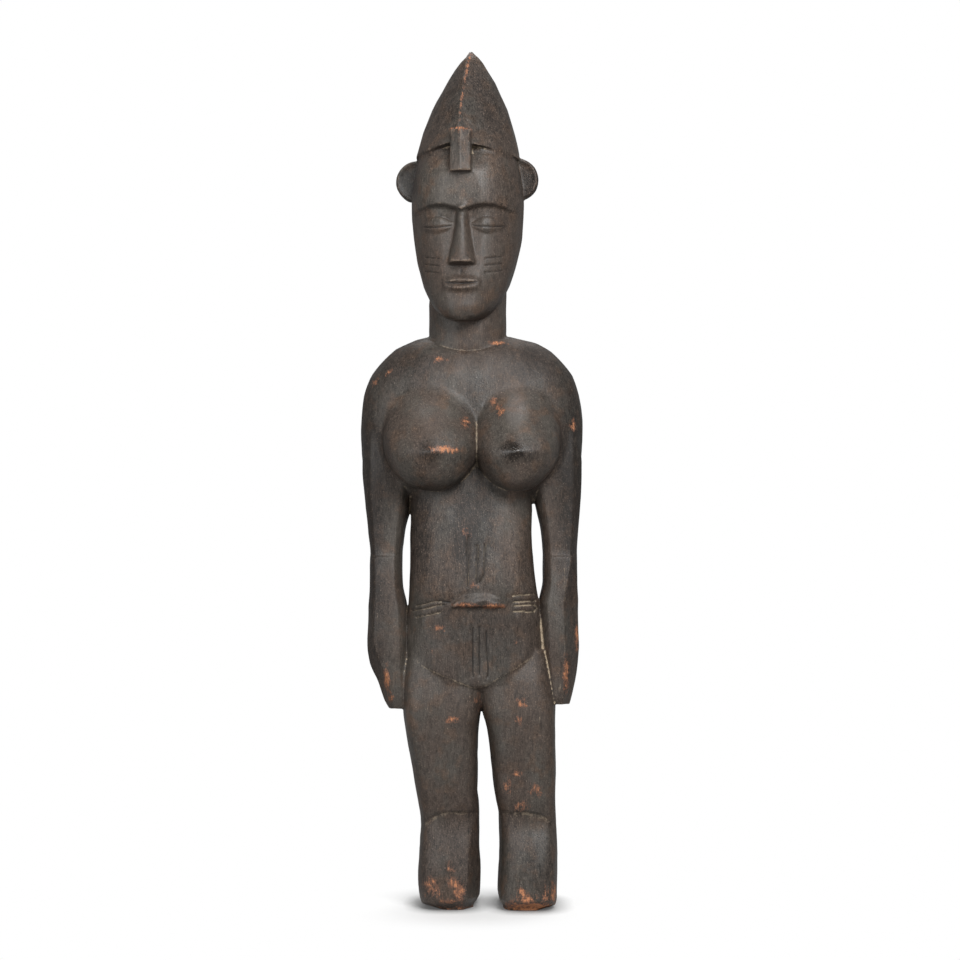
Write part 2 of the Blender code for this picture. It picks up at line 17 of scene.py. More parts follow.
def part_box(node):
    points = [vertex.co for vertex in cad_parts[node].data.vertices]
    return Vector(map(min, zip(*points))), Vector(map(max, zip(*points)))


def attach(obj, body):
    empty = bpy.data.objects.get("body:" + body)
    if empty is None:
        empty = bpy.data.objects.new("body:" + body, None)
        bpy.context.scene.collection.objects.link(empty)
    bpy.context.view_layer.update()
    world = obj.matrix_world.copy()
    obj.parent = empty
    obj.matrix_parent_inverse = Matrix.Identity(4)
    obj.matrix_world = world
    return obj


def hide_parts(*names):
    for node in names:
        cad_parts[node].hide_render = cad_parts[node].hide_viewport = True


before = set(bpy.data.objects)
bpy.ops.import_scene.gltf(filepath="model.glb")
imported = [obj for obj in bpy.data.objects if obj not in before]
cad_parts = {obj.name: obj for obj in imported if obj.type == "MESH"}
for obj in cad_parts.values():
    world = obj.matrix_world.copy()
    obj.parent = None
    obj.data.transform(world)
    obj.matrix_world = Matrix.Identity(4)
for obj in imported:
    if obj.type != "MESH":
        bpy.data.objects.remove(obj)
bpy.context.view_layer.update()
cad_low, cad_high = np.array(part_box("carved_figure"))
HEIGHT_IN_MM = 853
MM = (cad_high[2] - cad_low[2]) / HEIGHT_IN_MM


# The studio: a pale floor that fades to white away from the figure, a white surround and three soft
# lamps. The key lamp stands high in front on the right, a weaker fill low on the left, and the last
# above and behind. Under the feet the floor's colour and glow are darkened by how closed in it is,
# a painted contact shadow.
FLOOR_SIZE = 40.0
FLOOR_DROP = 0.0002
FLOOR_COLOUR = (0.86, 0.86, 0.857)
FLOOR_ROUGHNESS = 0.9
FLOOR_NEAR = 0.05
FLOOR_FAR = 0.14
FLOOR_GLOW = 0.08
FLOOR_LIGHT = 0.3
CONTACT_REACH = 0.02
CONTACT_DEPTH = 0.85
WHITE = (1, 1, 1, 1)
SURROUND_LIGHT = 0.26
EYE_LEVEL = 425 * MM
CAMERA_DISTANCE = 2.5
CAMERA_SIDE = 8 * MM
CAMERA_LENS = 93.75
CAMERA_SENSOR = 36
# Each lamp's place, size and power.
LAMPS = {
    "key_lamp": ((0.7, -2.2, 1.8), 1.2, 82),
    "fill_lamp": ((-1.7, -2.2, 0.8), 1.4, 30),
    "top_lamp": ((0.1, 1.0, 2.5), 1.2, 24),
}


def add_node(tree, kind, inputs=None, **settings):
    """A new node with its settings; each input takes a value or the output of another node."""
    made = tree.nodes.new(kind)
    for name, setting in settings.items():
        setattr(made, name, setting)
    for socket, value in (inputs or {}).items():
        if isinstance(value, bpy.types.NodeSocket):
            tree.links.new(value, made.inputs[socket])
        else:
            made.inputs[socket].default_value = value
    return made


def worked(tree, operation, one, other):
    """The sum, product, power or the like of two values or outputs."""
    return add_node(tree, "ShaderNodeMath", {0: one, 1: other}, operation=operation).outputs[0]


def scaled(tree, colour, share):
    """A colour times a share."""
    inputs = {0: colour, "Scale": share}
    return add_node(tree, "ShaderNodeVectorMath", inputs, operation="SCALE").outputs["Vector"]


def smoothed(tree, value, low, high, out_low=0.0, out_high=1.0):
    """A smooth step: out_low where the value is under low, out_high where it is over high."""
    inputs = {"Value": value, "From Min": low, "From Max": high, "To Min": out_low, "To Max": out_high}
    made = add_node(tree, "ShaderNodeMapRange", inputs, interpolation_type="SMOOTHSTEP")
    return made.outputs["Result"]


def blended(tree, share, under, over):
    """One shader over another by share."""
    return add_node(tree, "ShaderNodeMixShader", {0: share, 1: under, 2: over}).outputs[0]


def pale_paper():
    """Pale paper that turns into the white of the surround between FLOOR_NEAR and FLOOR_FAR from
    the middle, and lights the wood only by FLOOR_LIGHT. Both are scaled by open share ^ depth, which
    draws the soft shadow round the feet."""
    paper = bpy.data.materials.new("pale_paper")
    paper.use_nodes = True
    tree = paper.node_tree
    shader = tree.nodes["Principled BSDF"]
    seen = add_node(tree, "ShaderNodeLightPath").outputs["Is Camera Ray"]
    place = add_node(tree, "ShaderNodeTexCoord").outputs["Object"]
    away = add_node(tree, "ShaderNodeVectorMath", {0: place}, operation="LENGTH").outputs["Value"]
    open_share = add_node(tree, "ShaderNodeAmbientOcclusion", {"Distance": CONTACT_REACH}).outputs["AO"]
    # Painted contact shadow: the paper's colour and glow are darkened where the feet close it in.
    painted_contact_shadow = worked(tree, "POWER", open_share, CONTACT_DEPTH)
    shader.inputs["Roughness"].default_value = FLOOR_ROUGHNESS
    shader.inputs["Emission Color"].default_value = WHITE
    tree.links.new(scaled(tree, FLOOR_COLOUR, painted_contact_shadow), shader.inputs["Base Color"])
    tree.links.new(worked(tree, "MULTIPLY", seen, FLOOR_GLOW), shader.inputs["Emission Strength"])
    strength = worked(tree, "MULTIPLY", smoothed(tree, seen, 0, 1, FLOOR_LIGHT), painted_contact_shadow)
    white = add_node(tree, "ShaderNodeEmission", {"Color": WHITE, "Strength": strength}).outputs[0]
    fade = smoothed(tree, away, FLOOR_NEAR, FLOOR_FAR)
    whole = blended(tree, fade, shader.outputs[0], white)
    tree.links.new(whole, tree.nodes["Material Output"].inputs["Surface"])
    return paper


def pale_floor():
    """A flat square sheet of paper, a hair under the soles."""
    half = FLOOR_SIZE / 2
    corners = [(-half, -half), (half, -half), (half, half), (-half, half)]
    mesh = bpy.data.meshes.new("floor")
    mesh.from_pydata([(x, y, -FLOOR_DROP) for x, y in corners], [], [(0, 1, 2, 3)])
    mesh.materials.append(pale_paper())
    floor = bpy.data.objects.new("floor", mesh)
    bpy.context.scene.collection.objects.link(floor)


def lamp(name, place, size, power):
    """A square soft lamp at place, turned to the middle of the figure."""
    light = bpy.data.lights.new(name, "AREA")
    light.size = size
    light.energy = power
    holder = bpy.data.objects.new(name, light)
    holder.location = place
    aim = Vector((0, 0, EYE_LEVEL)) - Vector(place)
    holder.rotation_euler = aim.to_track_quat("-Z", "Y").to_euler()
    bpy.context.scene.collection.objects.link(holder)


def white_surround():
    """A white world: full white where it is seen, softer where it lights the wood."""
    world = bpy.data.worlds.new("white_surround")
    world.use_nodes = True
    tree = world.node_tree
    soft = tree.nodes["Background"]
    soft.inputs["Color"].default_value = WHITE
    soft.inputs["Strength"].default_value = SURROUND_LIGHT
    full = add_node(tree, "ShaderNodeBackground", {"Color": WHITE, "Strength": 1.0})
    seen = add_node(tree, "ShaderNodeLightPath").outputs["Is Camera Ray"]
    whole = blended(tree, seen, soft.outputs[0], full.outputs[0])
    tree.links.new(whole, tree.nodes["World Output"].inputs["Surface"])
    bpy.context.scene.world = world


def eye(figure_middle):
    """The camera at half the figure's height, level, straight in front of it."""
    camera = bpy.data.cameras.new("camera")
    camera.lens = CAMERA_LENS
    camera.sensor_width = CAMERA_SENSOR
    holder = bpy.data.objects.new("camera", camera)
    holder.location = (figure_middle[0] + CAMERA_SIDE, figure_middle[1] - CAMERA_DISTANCE, EYE_LEVEL)
    holder.rotation_euler = (math.pi / 2, 0, 0)
    bpy.context.scene.collection.objects.link(holder)
    bpy.context.scene.camera = holder


bpy.context.scene.view_settings.view_transform = "Standard"
pale_floor()
white_surround()
for lamp_name, settings in LAMPS.items():
    lamp(lamp_name, *settings)


# The trunk: hips, belly and ribs in one column. The navel stands out as a thick level ridge, and
# the belly ends below in a shallow step, shaped like an apron, from which the thighs come out.
BODY_AXIS = 6 * MM
NAVEL_LEVEL = 308 * MM
NAVEL_RIDGE = 6.5 * MM
NAVEL_OFFSET = 6.5 * MM
NAVEL_HALF_WIDTH = 26 * MM
APRON_STEP = 1.7 * MM
APRON_POINT_LEVEL = 220 * MM
APRON_RISE = 36 * MM
APRON_HALF_WIDTH = 70 * MM
BACK_GROOVE = 3 * MM
BACK_GROOVE_REACH = 9 * MM
TRUNK_SQUARENESS = 2.7
TRUNK_FLATS = ((-90, 0.97),)
# Level, left edge, right edge, front and back of the section.
TRUNK = (
    (198, -20, 36, -4, 40),
    (208, -58, 72, -14, 48),
    (218, -66, 76, -45, 51),
    (226, -70, 78, -50, 53),
    (265, -68, 73, -51, 51),
    (296, -64, 68, -53, 45),
    (318, -62, 64, -57, 41),
    (365, -61, 60, -52, 37),
    (400, -61, 60, -47, 40),
    (440, -66, 66, -44, 46),
    (485, -60, 60, -38, 44),
)
skins = []


def step(low, high, values):
    """Smooth step: 0 below low, 1 above high, 3t^2 - 2t^3 between."""
    share = np.clip((values - low) / (high - low), 0, 1)
    return share * share * (3 - 2 * share)


def bump(distance, reach):
    """A bell: e to the minus (distance / reach) squared."""
    return np.exp(-((distance / reach) ** 2))


def read_stations(stations, levels):
    """The edges of a form at each level: a cubic between stations with harmonic-mean slopes, which
    never overshoots them."""
    table = np.array(stations, float) * MM
    knots, values = table[:, 0], table[:, 1:]
    slopes = np.diff(values, axis=0) / np.diff(knots)[:, None]
    below, above = slopes[:-1], slopes[1:]
    together = np.where(below * above > 0, below + above, np.inf)
    tangents = np.vstack([slopes[:1], 2 * below * above / together, slopes[-1:]])
    at = np.clip(np.searchsorted(knots, levels) - 1, 0, len(knots) - 2)
    width = (knots[at + 1] - knots[at])[:, None]
    share = (levels - knots[at])[:, None] / width
    rest = 1 - share
    curve = values[at] * rest**2 * (1 + 2 * share) + values[at + 1] * share**2 * (1 + 2 * rest)
    curve += width * share * rest * (tangents[at] * rest - tangents[at + 1] * share)
    return curve.T


def around(sides):
    """Directions round a section as a row of angles; -90 degrees is the front."""
    return np.linspace(0, 2 * math.pi, sides, endpoint=False)[None, :]


def rounded_section(left, right, front, back, squareness, flats=(), sides=240):
    """Points round each section: radius = (|cos/a|^n + |sin/b|^n)^(-1/n), planed by flats.

    A flat is a direction in degrees and the share of the section's reach at which its plane lies.
    """
    angle = around(sides)
    half_width = ((right - left) / 2)[:, None]
    half_depth = ((back - front) / 2)[:, None]
    cosine, sine = np.cos(angle), np.sin(angle)
    ratio = np.abs(cosine / half_width) ** squareness + np.abs(sine / half_depth) ** squareness
    radius = ratio ** (-1 / squareness)
    for degrees, share in flats:
        facing = math.radians(degrees)
        reach = np.hypot(half_width * math.cos(facing), half_depth * math.sin(facing))
        slant = np.cos(angle - facing)
        planed = np.where(slant > 0.05, share * reach / np.maximum(slant, 0.05), np.inf)
        radius = np.minimum(radius, planed)
    x = ((left + right) / 2)[:, None] + radius * cosine
    y = ((front + back) / 2)[:, None] + radius * sine
    return x, y


def spread(levels, like):
    """The levels of the rings, repeated to the shape of a grid."""
    return np.broadcast_to(levels[:, None], like.shape)


def stack_levels(stations, rings=260, lowest=None):
    """Evenly spaced levels from the first station, or from lowest, to the last."""
    first = stations[0][0] * MM if lowest is None else lowest
    return np.linspace(first, stations[-1][0] * MM, rings)


def stacked(stations, levels, squareness, flats=(), sides=240):
    """A form stacked up from its stations, as x, y and z on a grid of rings by sides."""
    left, right, front, back = read_stations(stations, levels)
    x, y = rounded_section(left, right, front, back, squareness, flats, sides)
    return x, y, spread(levels, x)


def skin(x, y, z):
    """The closed skin over a grid: quads between rings, and a fan of triangles at each end."""
    rings, sides = x.shape
    points = np.stack([x, y, z], axis=-1).reshape(-1, 3)
    points = np.vstack([points, points[:sides].mean(axis=0), points[-sides:].mean(axis=0)])
    ring, side = np.meshgrid(np.arange(rings - 1), np.arange(sides), indexing="ij")
    here, onward = ring * sides + side, ring * sides + (side + 1) % sides
    quads = np.stack([here, onward, onward + sides, here + sides], axis=-1).reshape(-1, 4)
    first = np.arange(sides)
    following = (first + 1) % sides
    last = (rings - 1) * sides
    low_fan = np.stack([following, first, np.full(sides, rings * sides)], axis=-1)
    high_fan = np.stack([first + last, following + last, np.full(sides, rings * sides + 1)], axis=-1)
    return points, quads, np.vstack([low_fan, high_fan])


def front_share(x, y):
    """How far each point of a stacked form looks forward: 1 in front, 0 from the flanks back."""
    middle_x, middle_y = x.mean(axis=1, keepdims=True), y.mean(axis=1, keepdims=True)
    return step(0.3, 0.75, (middle_y - y) / np.hypot(x - middle_x, y - middle_y))


def back_groove(x, y):
    """The depth of the furrow down the middle of the back: a bell across it, on the back only."""
    return BACK_GROOVE * bump(x - BODY_AXIS, BACK_GROOVE_REACH) * step(10 * MM, 30 * MM, y)


def apron_across(x):
    """How far out a point of the apron lies: 0 in the middle, 1 at its side."""
    return np.abs(x - BODY_AXIS) / APRON_HALF_WIDTH


def apron_edge(x):
    """The level of the apron's lower edge, which rises with across^1.15, more on the right."""
    slope = 1 + 0.18 * np.sign(x - BODY_AXIS)
    return APRON_POINT_LEVEL + APRON_RISE * slope * apron_across(x) ** 1.15


def trunk():
    """The column of the trunk, with the navel ridge raised and the thighs set back below the apron."""
    x, y, z = stacked(TRUNK, stack_levels(TRUNK), TRUNK_SQUARENESS, TRUNK_FLATS)
    forward = front_share(x, y)
    over_ridge = z - NAVEL_LEVEL
    lens = np.sqrt(np.clip(1 - ((x - NAVEL_OFFSET) / NAVEL_HALF_WIDTH) ** 2, 0.0025, 1))
    ridge_top = (15.5 * lens - 7) * MM
    above_top = step(ridge_top - 11 * MM * lens, ridge_top, over_ridge)
    ridge = step(-8, -6, over_ridge / MM) * (1 - above_top)
    lumps = 0.82 + 0.18 * np.cos((x - 0.6 * z) / (3.2 * MM)) * np.cos(z / (4 * MM))
    ridge = np.where(lens > 0.05, ridge * lens**0.4 * lumps, 0)
    below_apron = 1 - step(-2.5 * MM, 1.5 * MM, z - apron_edge(x))
    y = y - forward * (NAVEL_RIDGE * ridge - APRON_STEP * below_apron) - back_groove(x, y)
    return skin(x, y, z)


skins.append(trunk())


# The shoulders and arms: the chest, shoulders and upper arms are one dome. The arms hang clear of
# the waist; below a small ledge at the elbow they are planed to wedges that end in flat cut hands.
SHOULDER_WIDTH = 222 * MM
CHEST_DEPTH = 100 * MM
CHEST_MIDDLE = 3 * MM
CHEST_LEVEL = 465 * MM
ARMPIT_LEVEL = 401 * MM
SHOULDER_TOP_LEVEL = 571 * MM
ELBOW_LEVEL = 350 * MM
FOREARM_STEP = 2 * MM
ARM_SQUARENESS = 2.9
# The arms' outer edges are measured in from the shoulders' side, the inner ones from the middle.
LEFT_ARM = (
    (199, 28, 66, -27, 5),
    (206, 24, 64, -30, 10),
    (226, 16, 63, -33, 22),
    (246, 8, 63, -34, 29),
    (262, 6, 63, -35, 32),
    (297, 7.5, 65, -34, 35),
    (322, 8.5, 69.5, -32, 37),
    (350, 8.5, 70, -29, 39),
    (375, 6, 67, -29, 41),
    (397, 3.5, 62, -30, 42),
    (430, 0.5, 57, -32, 42),
    (470, 2, 60, -30, 38),
    (500, 15, 62, -20, 30),
)
RIGHT_ARM = (
    (203, 13.5, 79, -28, 7),
    (210, 11.5, 77, -31, 12),
    (226, 7.5, 74, -33, 22),
    (246, 4, 71, -34, 29),
    (262, 3, 69, -35, 32),
    (300, 4, 67, -34, 35),
    (325, 5.5, 71, -32, 37),
    (350, 6, 71, -29, 39),
    (375, 4.5, 68.5, -29, 41),
    (397, 2, 64, -30, 42),
    (430, 0, 58, -32, 42),
    (470, 1.5, 60, -30, 38),
    (500, 13, 62, -20, 30),
)


def shoulders():
    """A dome: level = sin(t), and width and depth close over it as superellipse arches."""
    rise = SHOULDER_TOP_LEVEL - CHEST_LEVEL
    fall = CHEST_LEVEL - ARMPIT_LEVEL
    lift = np.sin(np.linspace(-math.pi / 2, math.pi / 2, 300))
    levels = CHEST_LEVEL + np.where(lift > 0, rise, fall) * lift
    across_closing = np.where(lift > 0, 2.75, 7)
    along_closing = np.where(lift > 0, 2.75, 2)
    closed = 1e-6
    across = np.maximum(1 - np.abs(lift) ** across_closing, closed) ** (1 / across_closing)
    along = np.maximum(1 - np.abs(lift) ** along_closing, closed) ** (1 / along_closing)
    half_width = SHOULDER_WIDTH / 2 * across * (1 - 0.035 * np.maximum(-lift, 0))
    half_depth = CHEST_DEPTH / 2 * along
    front, back = CHEST_MIDDLE - half_depth, CHEST_MIDDLE + half_depth
    x, y = rounded_section(-half_width, half_width, front, back, 2.5, sides=420)
    return skin(x, y - back_groove(x, y), spread(levels, x))


def hung(stations, side):
    """An arm's stations with left and right edges, for the side -1 or 1: the outer edge is measured
    in from the shoulders' side, the inner one out from the middle."""
    reach = SHOULDER_WIDTH / 2 / MM
    rows = []
    for level, outer_in, inner_out, front, back in stations:
        rows.append((level, *sorted((side * (reach - outer_in), side * inner_out)), front, back))
    return rows


def arm(stations, outer, edge_low, edge_high):
    """An arm as a stack of sections. Below the elbow its front stands a little proud, and its outer
    front edge is planed off more and more from edge_high down to edge_low."""
    levels = stack_levels(stations)
    planed = 1.12 - 0.27 * (1 - step(edge_low, edge_high, levels[:, None]))
    front_outer = -90 + 0.6 * (outer + 90)
    flats = ((-90, 0.93), (outer, 0.93), (front_outer, planed))
    x, y, z = stacked(stations, levels, ARM_SQUARENESS, flats)
    forearm = 1 - step(ELBOW_LEVEL - 1 * MM, ELBOW_LEVEL + 1 * MM, z)
    return skin(x, y - FOREARM_STEP * forearm * front_share(x, y), z)


skins.append(shoulders())
skins.append(arm(hung(LEFT_ARM, -1), -180, 225 * MM, 275 * MM))
skins.append(arm(hung(RIGHT_ARM, 1), 0, 300 * MM, 352 * MM))


# The breasts and buttocks: full rounds that were left proud of the trunk. Each breast slopes out
# to a soft level edge at the nipple, and turns back under it to the ribs.
LEFT_BREAST_WIDTH = 98 * MM
RIGHT_BREAST_WIDTH = 88 * MM
BREAST_OVERLAP = 5 * MM
BREAST_HEIGHT = 104 * MM
BREAST_SEAT = 36 * MM
BREAST_REACH = 52 * MM
BREAST_DROOP = 16 * MM
BREAST_LEVEL = 469 * MM
CLEFT = 5 * MM
BREAST_FILLET = 16 * MM
NIPPLE_REACH = 2.4 * MM
NIPPLE_RADIUS = 6 * MM
BUTTOCK_RADII = (39 * MM, 34 * MM, 52 * MM)
BUTTOCK_SPACING = 66 * MM
BUTTOCK_LEVEL = 243 * MM
BUTTOCK_DEPTH = 30 * MM


def bulge(centre, radii, squareness=2.0):
    """A swelling with its pole at the front or back: spread = cos(t)^(2/n), reach = sin(t)."""
    lift = np.linspace(0, math.pi / 2, 150)[:, None]
    spread_share, reach = np.cos(lift) ** (2 / squareness), np.sin(lift)
    angle = around(320)
    x = centre[0] + radii[0] * spread_share * np.cos(angle)
    z = centre[2] + radii[2] * spread_share * np.sin(angle)
    return x, centre[1] + radii[1] * reach * np.ones_like(x), z


def chest_front(x, z):
    """The front of the dome of the chest at each point: a superellipse arch that closes upwards."""
    lift = np.clip((z - CHEST_LEVEL) / (SHOULDER_TOP_LEVEL - CHEST_LEVEL), 0, 0.99)
    closing = (1 - lift**2.75) ** (1 / 2.75)
    across = np.clip(np.abs(x) / (SHOULDER_WIDTH / 2 * closing), 0, 1)
    return CHEST_MIDDLE - CHEST_DEPTH / 2 * closing * (1 - across**2.5) ** (1 / 2.5)


def breast(centre_x, width):
    """A round breast, height = (1 - r^2.15)^n, sheared down to a low nipple on a soft level edge.

    Its upper side grows out of the chest by a smooth maximum of the two heights; its under side
    and the cleft are cut in sharply.
    """
    share, angle = np.linspace(1.3, 0, 170)[:, None], around(320)
    upper = step(0, 0.9, np.sin(angle))
    swell = np.clip(1 - share**2.15, 0, 1) ** (0.5 + 0.35 * upper)
    x = centre_x + width / 2 * share * np.cos(angle)
    z = BREAST_LEVEL + BREAST_HEIGHT / 2 * share * np.sin(angle) - BREAST_DROOP * swell
    nipple_level = BREAST_LEVEL - BREAST_DROOP
    edge = 2 * MM * swell * bump(z - nipple_level, 12 * MM)
    nipple = NIPPLE_REACH * bump(np.hypot(x - centre_x, z - nipple_level), NIPPLE_RADIUS)
    tilt = 0.14 * np.maximum(z - nipple_level, 0)
    sunk = 1.6 * BREAST_REACH * np.maximum(share - 1, 0)
    y = tilt + sunk - BREAST_SEAT - BREAST_REACH * swell - edge - nipple
    chest = chest_front(x, z)
    proud = chest - y
    fillet = np.maximum(BREAST_FILLET * upper, 0.01 * MM)
    round_off = np.maximum(fillet - np.abs(proud), 0) ** 2 / (4 * fillet)
    blended = chest - np.maximum(proud, 0) - round_off + 1.5 * MM * step(1, 1.6, -proud / fillet)
    y = np.where(upper > 0.02, blended, y)
    x, y, z = (np.vstack([grid[:1], grid]) for grid in (x, y, z))
    y[0] += 14 * MM
    return skin(x, y, z)


def buttock(centre_x):
    """A low bulge at the back of the hips."""
    x, y, z = bulge((centre_x, BUTTOCK_DEPTH, BUTTOCK_LEVEL), BUTTOCK_RADII)
    x, y, z = (np.vstack([grid[:1], grid])[:, ::-1] for grid in (x, y, z))
    y[0] -= 14 * MM
    return skin(x, y, z)


skins.append(breast(CLEFT - LEFT_BREAST_WIDTH / 2 + BREAST_OVERLAP, LEFT_BREAST_WIDTH))
skins.append(breast(CLEFT + RIGHT_BREAST_WIDTH / 2 - BREAST_OVERLAP, RIGHT_BREAST_WIDTH))
skins.append(buttock(BODY_AXIS - BUTTOCK_SPACING / 2))
skins.append(buttock(BODY_AXIS + BUTTOCK_SPACING / 2))


# The legs: square posts, planed askew on their inner sides. The thigh ends over the shin in a low
# arched ledge. The feet are lost, and the figure stands on the cut ends of the shins.
KNEE_LEVEL = 98 * MM
KNEE_DROP = 13 * MM
KNEE_LEDGE = 3 * MM
KNEE_HALF_WIDTH = 28 * MM
LEG_SQUARENESS = 4.3
LEFT_LEG = (
    (-14, -42, -2, -20, 44),
    (0, -48, 1.5, -27, 52),
    (12, -52, 7.5, -38, 59),
    (36, -54, 8, -40, 61),
    (62, -52, 7, -37, 58),
    (88, -51, 7, -33, 53),
    (120, -56, 5, -40, 52),
    (150, -61, 5.5, -45, 53),
    (180, -66, 6.5, -47, 54),
    (196, -68, 9, -48, 54),
    (226, -69, 16, -46, 52),
    (258, -64, 20, -38, 44),
)
RIGHT_LEG = (
    (-14, 34, 78, -30, 44),
    (0, 31, 82, -32, 52),
    (12, 26, 84.5, -45, 59),
    (36, 27, 85, -46, 61),
    (62, 28, 84.5, -42, 58),
    (88, 27, 83.5, -36, 53),
    (120, 22, 83, -41, 52),
    (150, 19, 83, -45, 53),
    (180, 14.5, 83, -47, 54),
    (196, 10, 83, -48, 54),
    (226, 4, 79, -46, 52),
    (258, -2, 74, -38, 44),
)


def leg(stations, outward, planed_low, planed_high, worn):
    """A leg as a stack of square sections; the knee ledge is an arch that falls on the outer side.

    Its inner front edge is planed off at the foot, and less and less up the thigh, from planed_low
    to planed_high. Its outer front corner is worn round at the sole, to worn.
    """
    levels = stack_levels(stations, lowest=0)
    planed = planed_low + (planed_high - planed_low) * step(10 * MM, 150 * MM, levels[:, None])
    rounded = worn + (1.42 - worn) * np.clip(levels[:, None] / (8 * MM), 0, 1)
    inner, outer = -90 - outward * 60, -90 + outward * 60
    flats = ((inner, planed), (outer, rounded), (90, 0.96))
    x, y, z = stacked(stations, levels, LEG_SQUARENESS, flats)
    out = np.clip(outward * (x - x.mean(axis=1, keepdims=True)) / KNEE_HALF_WIDTH, 0, 1)
    above = z - (KNEE_LEVEL - KNEE_DROP * out**2)
    ledge = step(-2.6 * MM, 2.6 * MM, above) * (1 - step(4 * MM, 50 * MM, above))
    return skin(x, y - KNEE_LEDGE * ledge * front_share(x, y), z)


skins.append(leg(LEFT_LEG, -1, 1.09, 1.27, 0.75))
skins.append(leg(RIGHT_LEG, 1, 1.24, 1.34, 0.85))


# The neck and head: a thick planed neck, and a long egg of a head turned a little to its right.
# The face is calm, on the thirds of a drawing book: hairline, brow, foot of the nose, chin.
CHIN_LEVEL = 583 * MM
NECK_OFFSET = -4 * MM
NECK_WIDTH = 77 * MM
NECK_DEPTH = 70 * MM
NECK_MIDDLE = 3 * MM
NECK_RINGS = 140
HEAD_TURN = math.radians(-6)
HEAD_SQUARENESS = 2.35
HEAD_RINGS = 320
HEAD_SIDES = 520
HEAD = (
    (583, -9, 9, -57, -28),
    (587, -20, 20, -60, -14),
    (598, -32, 32, -62, 8),
    (618, -42, 42, -62, 32),
    (645, -49.5, 49.5, -61, 50),
    (672, -54, 54, -61, 60),
    (700, -55.5, 55.5, -62, 64),
    (725, -53, 53, -61, 63),
    (748, -48, 48, -53, 58),
    (772, -36, 36, -40, 46),
    (792, -18, 18, -22, 28),
)
FACE_HEIGHT = 165 * MM
BROW_SHARE = 0.66
EYE_SHARE = 0.565
NOSE_FOOT_SHARE = 0.33
MOUTH_SHARE = 0.21
EYE_SPREAD = 25 * MM
EYE_HALF_WIDTH = 16.5 * MM
SOCKET_DEPTH = 6.5 * MM
LID_REACH = 3.4 * MM
NOSE_REACH = 15 * MM
NOSE_ROOT_HALF = 4.5 * MM
NOSE_FOOT_HALF = 12.5 * MM
MUZZLE_REACH = 3 * MM
LIP_REACH = 3.6 * MM


def neck():
    """A column of even section from inside the shoulders to inside the head."""
    levels = np.linspace(CHIN_LEVEL - 50 * MM, CHIN_LEVEL + 90 * MM, NECK_RINGS)
    half_width = np.full(NECK_RINGS, NECK_WIDTH / 2)
    half_depth = np.full(NECK_RINGS, NECK_DEPTH / 2)
    left, right = NECK_OFFSET - half_width, NECK_OFFSET + half_width
    x, y = rounded_section(left, right, NECK_MIDDLE - half_depth, NECK_MIDDLE + half_depth, 2.3)
    return skin(x, y, spread(levels, x))


def turned(form):
    """A form of the head, turned on the neck with the rest of the head."""
    points, quads, triangles = form
    cosine, sine = math.cos(HEAD_TURN), math.sin(HEAD_TURN)
    x, y = points[:, 0].copy(), points[:, 1].copy()
    points[:, 0] = NECK_OFFSET + cosine * x - sine * y
    points[:, 1] = sine * x + cosine * y
    return points, quads, triangles


def face_relief(x, z):
    """How far the face stands out of the plain skull at each point of its front.

    Two brow arches meet in the root of a long ridged nose. Under them the sockets and cheeks are
    cut back, closed lids swell, and full lips stand on a low muzzle above a small chin.
    """
    share = (z - CHIN_LEVEL) / FACE_HEIGHT
    side = np.abs(x)
    from_pupil = (side - EYE_SPREAD) / EYE_HALF_WIDTH
    arch = np.cos(np.clip(from_pupil * 0.62, -1.2, 1.2) * math.pi / 2)
    brow = BROW_SHARE - 0.012 + 0.035 * arch
    under_brow = 1 - step(-0.022, 0.008, share - brow)
    hollow = 0.6 + 0.4 * step(0.3, 0.58, share)
    cheek = SOCKET_DEPTH * under_brow * hollow * step(0.02, 0.4, share)
    cheek += 2.2 * MM * bump(side - 13 * MM, 7 * MM) * bump(share - 0.6, 0.05)
    scoop = 4 * MM * bump(x, 17 * MM) * step(0.86, 0.98, share)
    down = np.clip((BROW_SHARE - share) / (BROW_SHARE - NOSE_FOOT_SHARE), 0, 1)
    nose_half = NOSE_ROOT_HALF + (NOSE_FOOT_HALF - NOSE_ROOT_HALF) * down**1.5
    section = np.clip(1 - (side / (nose_half + 1.5 * MM)) ** 2.2, 0, 1) ** 0.75
    nose_foot = step(NOSE_FOOT_SHARE - 0.012, NOSE_FOOT_SHARE + 0.012, share)
    nose_top = 1 - step(BROW_SHARE - 0.06, BROW_SHARE + 0.06, share)
    nose = NOSE_REACH * (0.42 + 0.58 * down**1.1) * section * nose_foot * nose_top
    wing = 2.6 * MM * bump(side - 10 * MM, 4 * MM) * bump(share - NOSE_FOOT_SHARE - 0.026, 0.024)
    almond = 1 - from_pupil**2 - ((share - EYE_SHARE) / 0.052) ** 2 * (1 + 0.8 * from_pupil**2)
    lid = LID_REACH * np.clip(almond, 0, 1) ** 0.6
    from_mouth = np.hypot(x / (26 * MM), (share - MOUTH_SHARE) / 0.14)
    muzzle = MUZZLE_REACH * (1 - step(0.2, 1.1, from_mouth))
    corner = side / (18.5 * MM)
    taper = np.clip(1 - corner**2, 0, 1) ** 0.5
    upper_lip = LIP_REACH * taper * bump(share - MOUTH_SHARE - 0.022 + 0.012 * corner**2, 0.018)
    lower_lip = 1.1 * LIP_REACH * taper * bump(share - MOUTH_SHARE + 0.024 - 0.01 * corner**2, 0.02)
    chin = 2.6 * MM * bump(x, 14 * MM) * bump(share - 0.07, 0.055)
    return nose + wing + lid + muzzle + upper_lip + lower_lip + chin - cheek - scoop


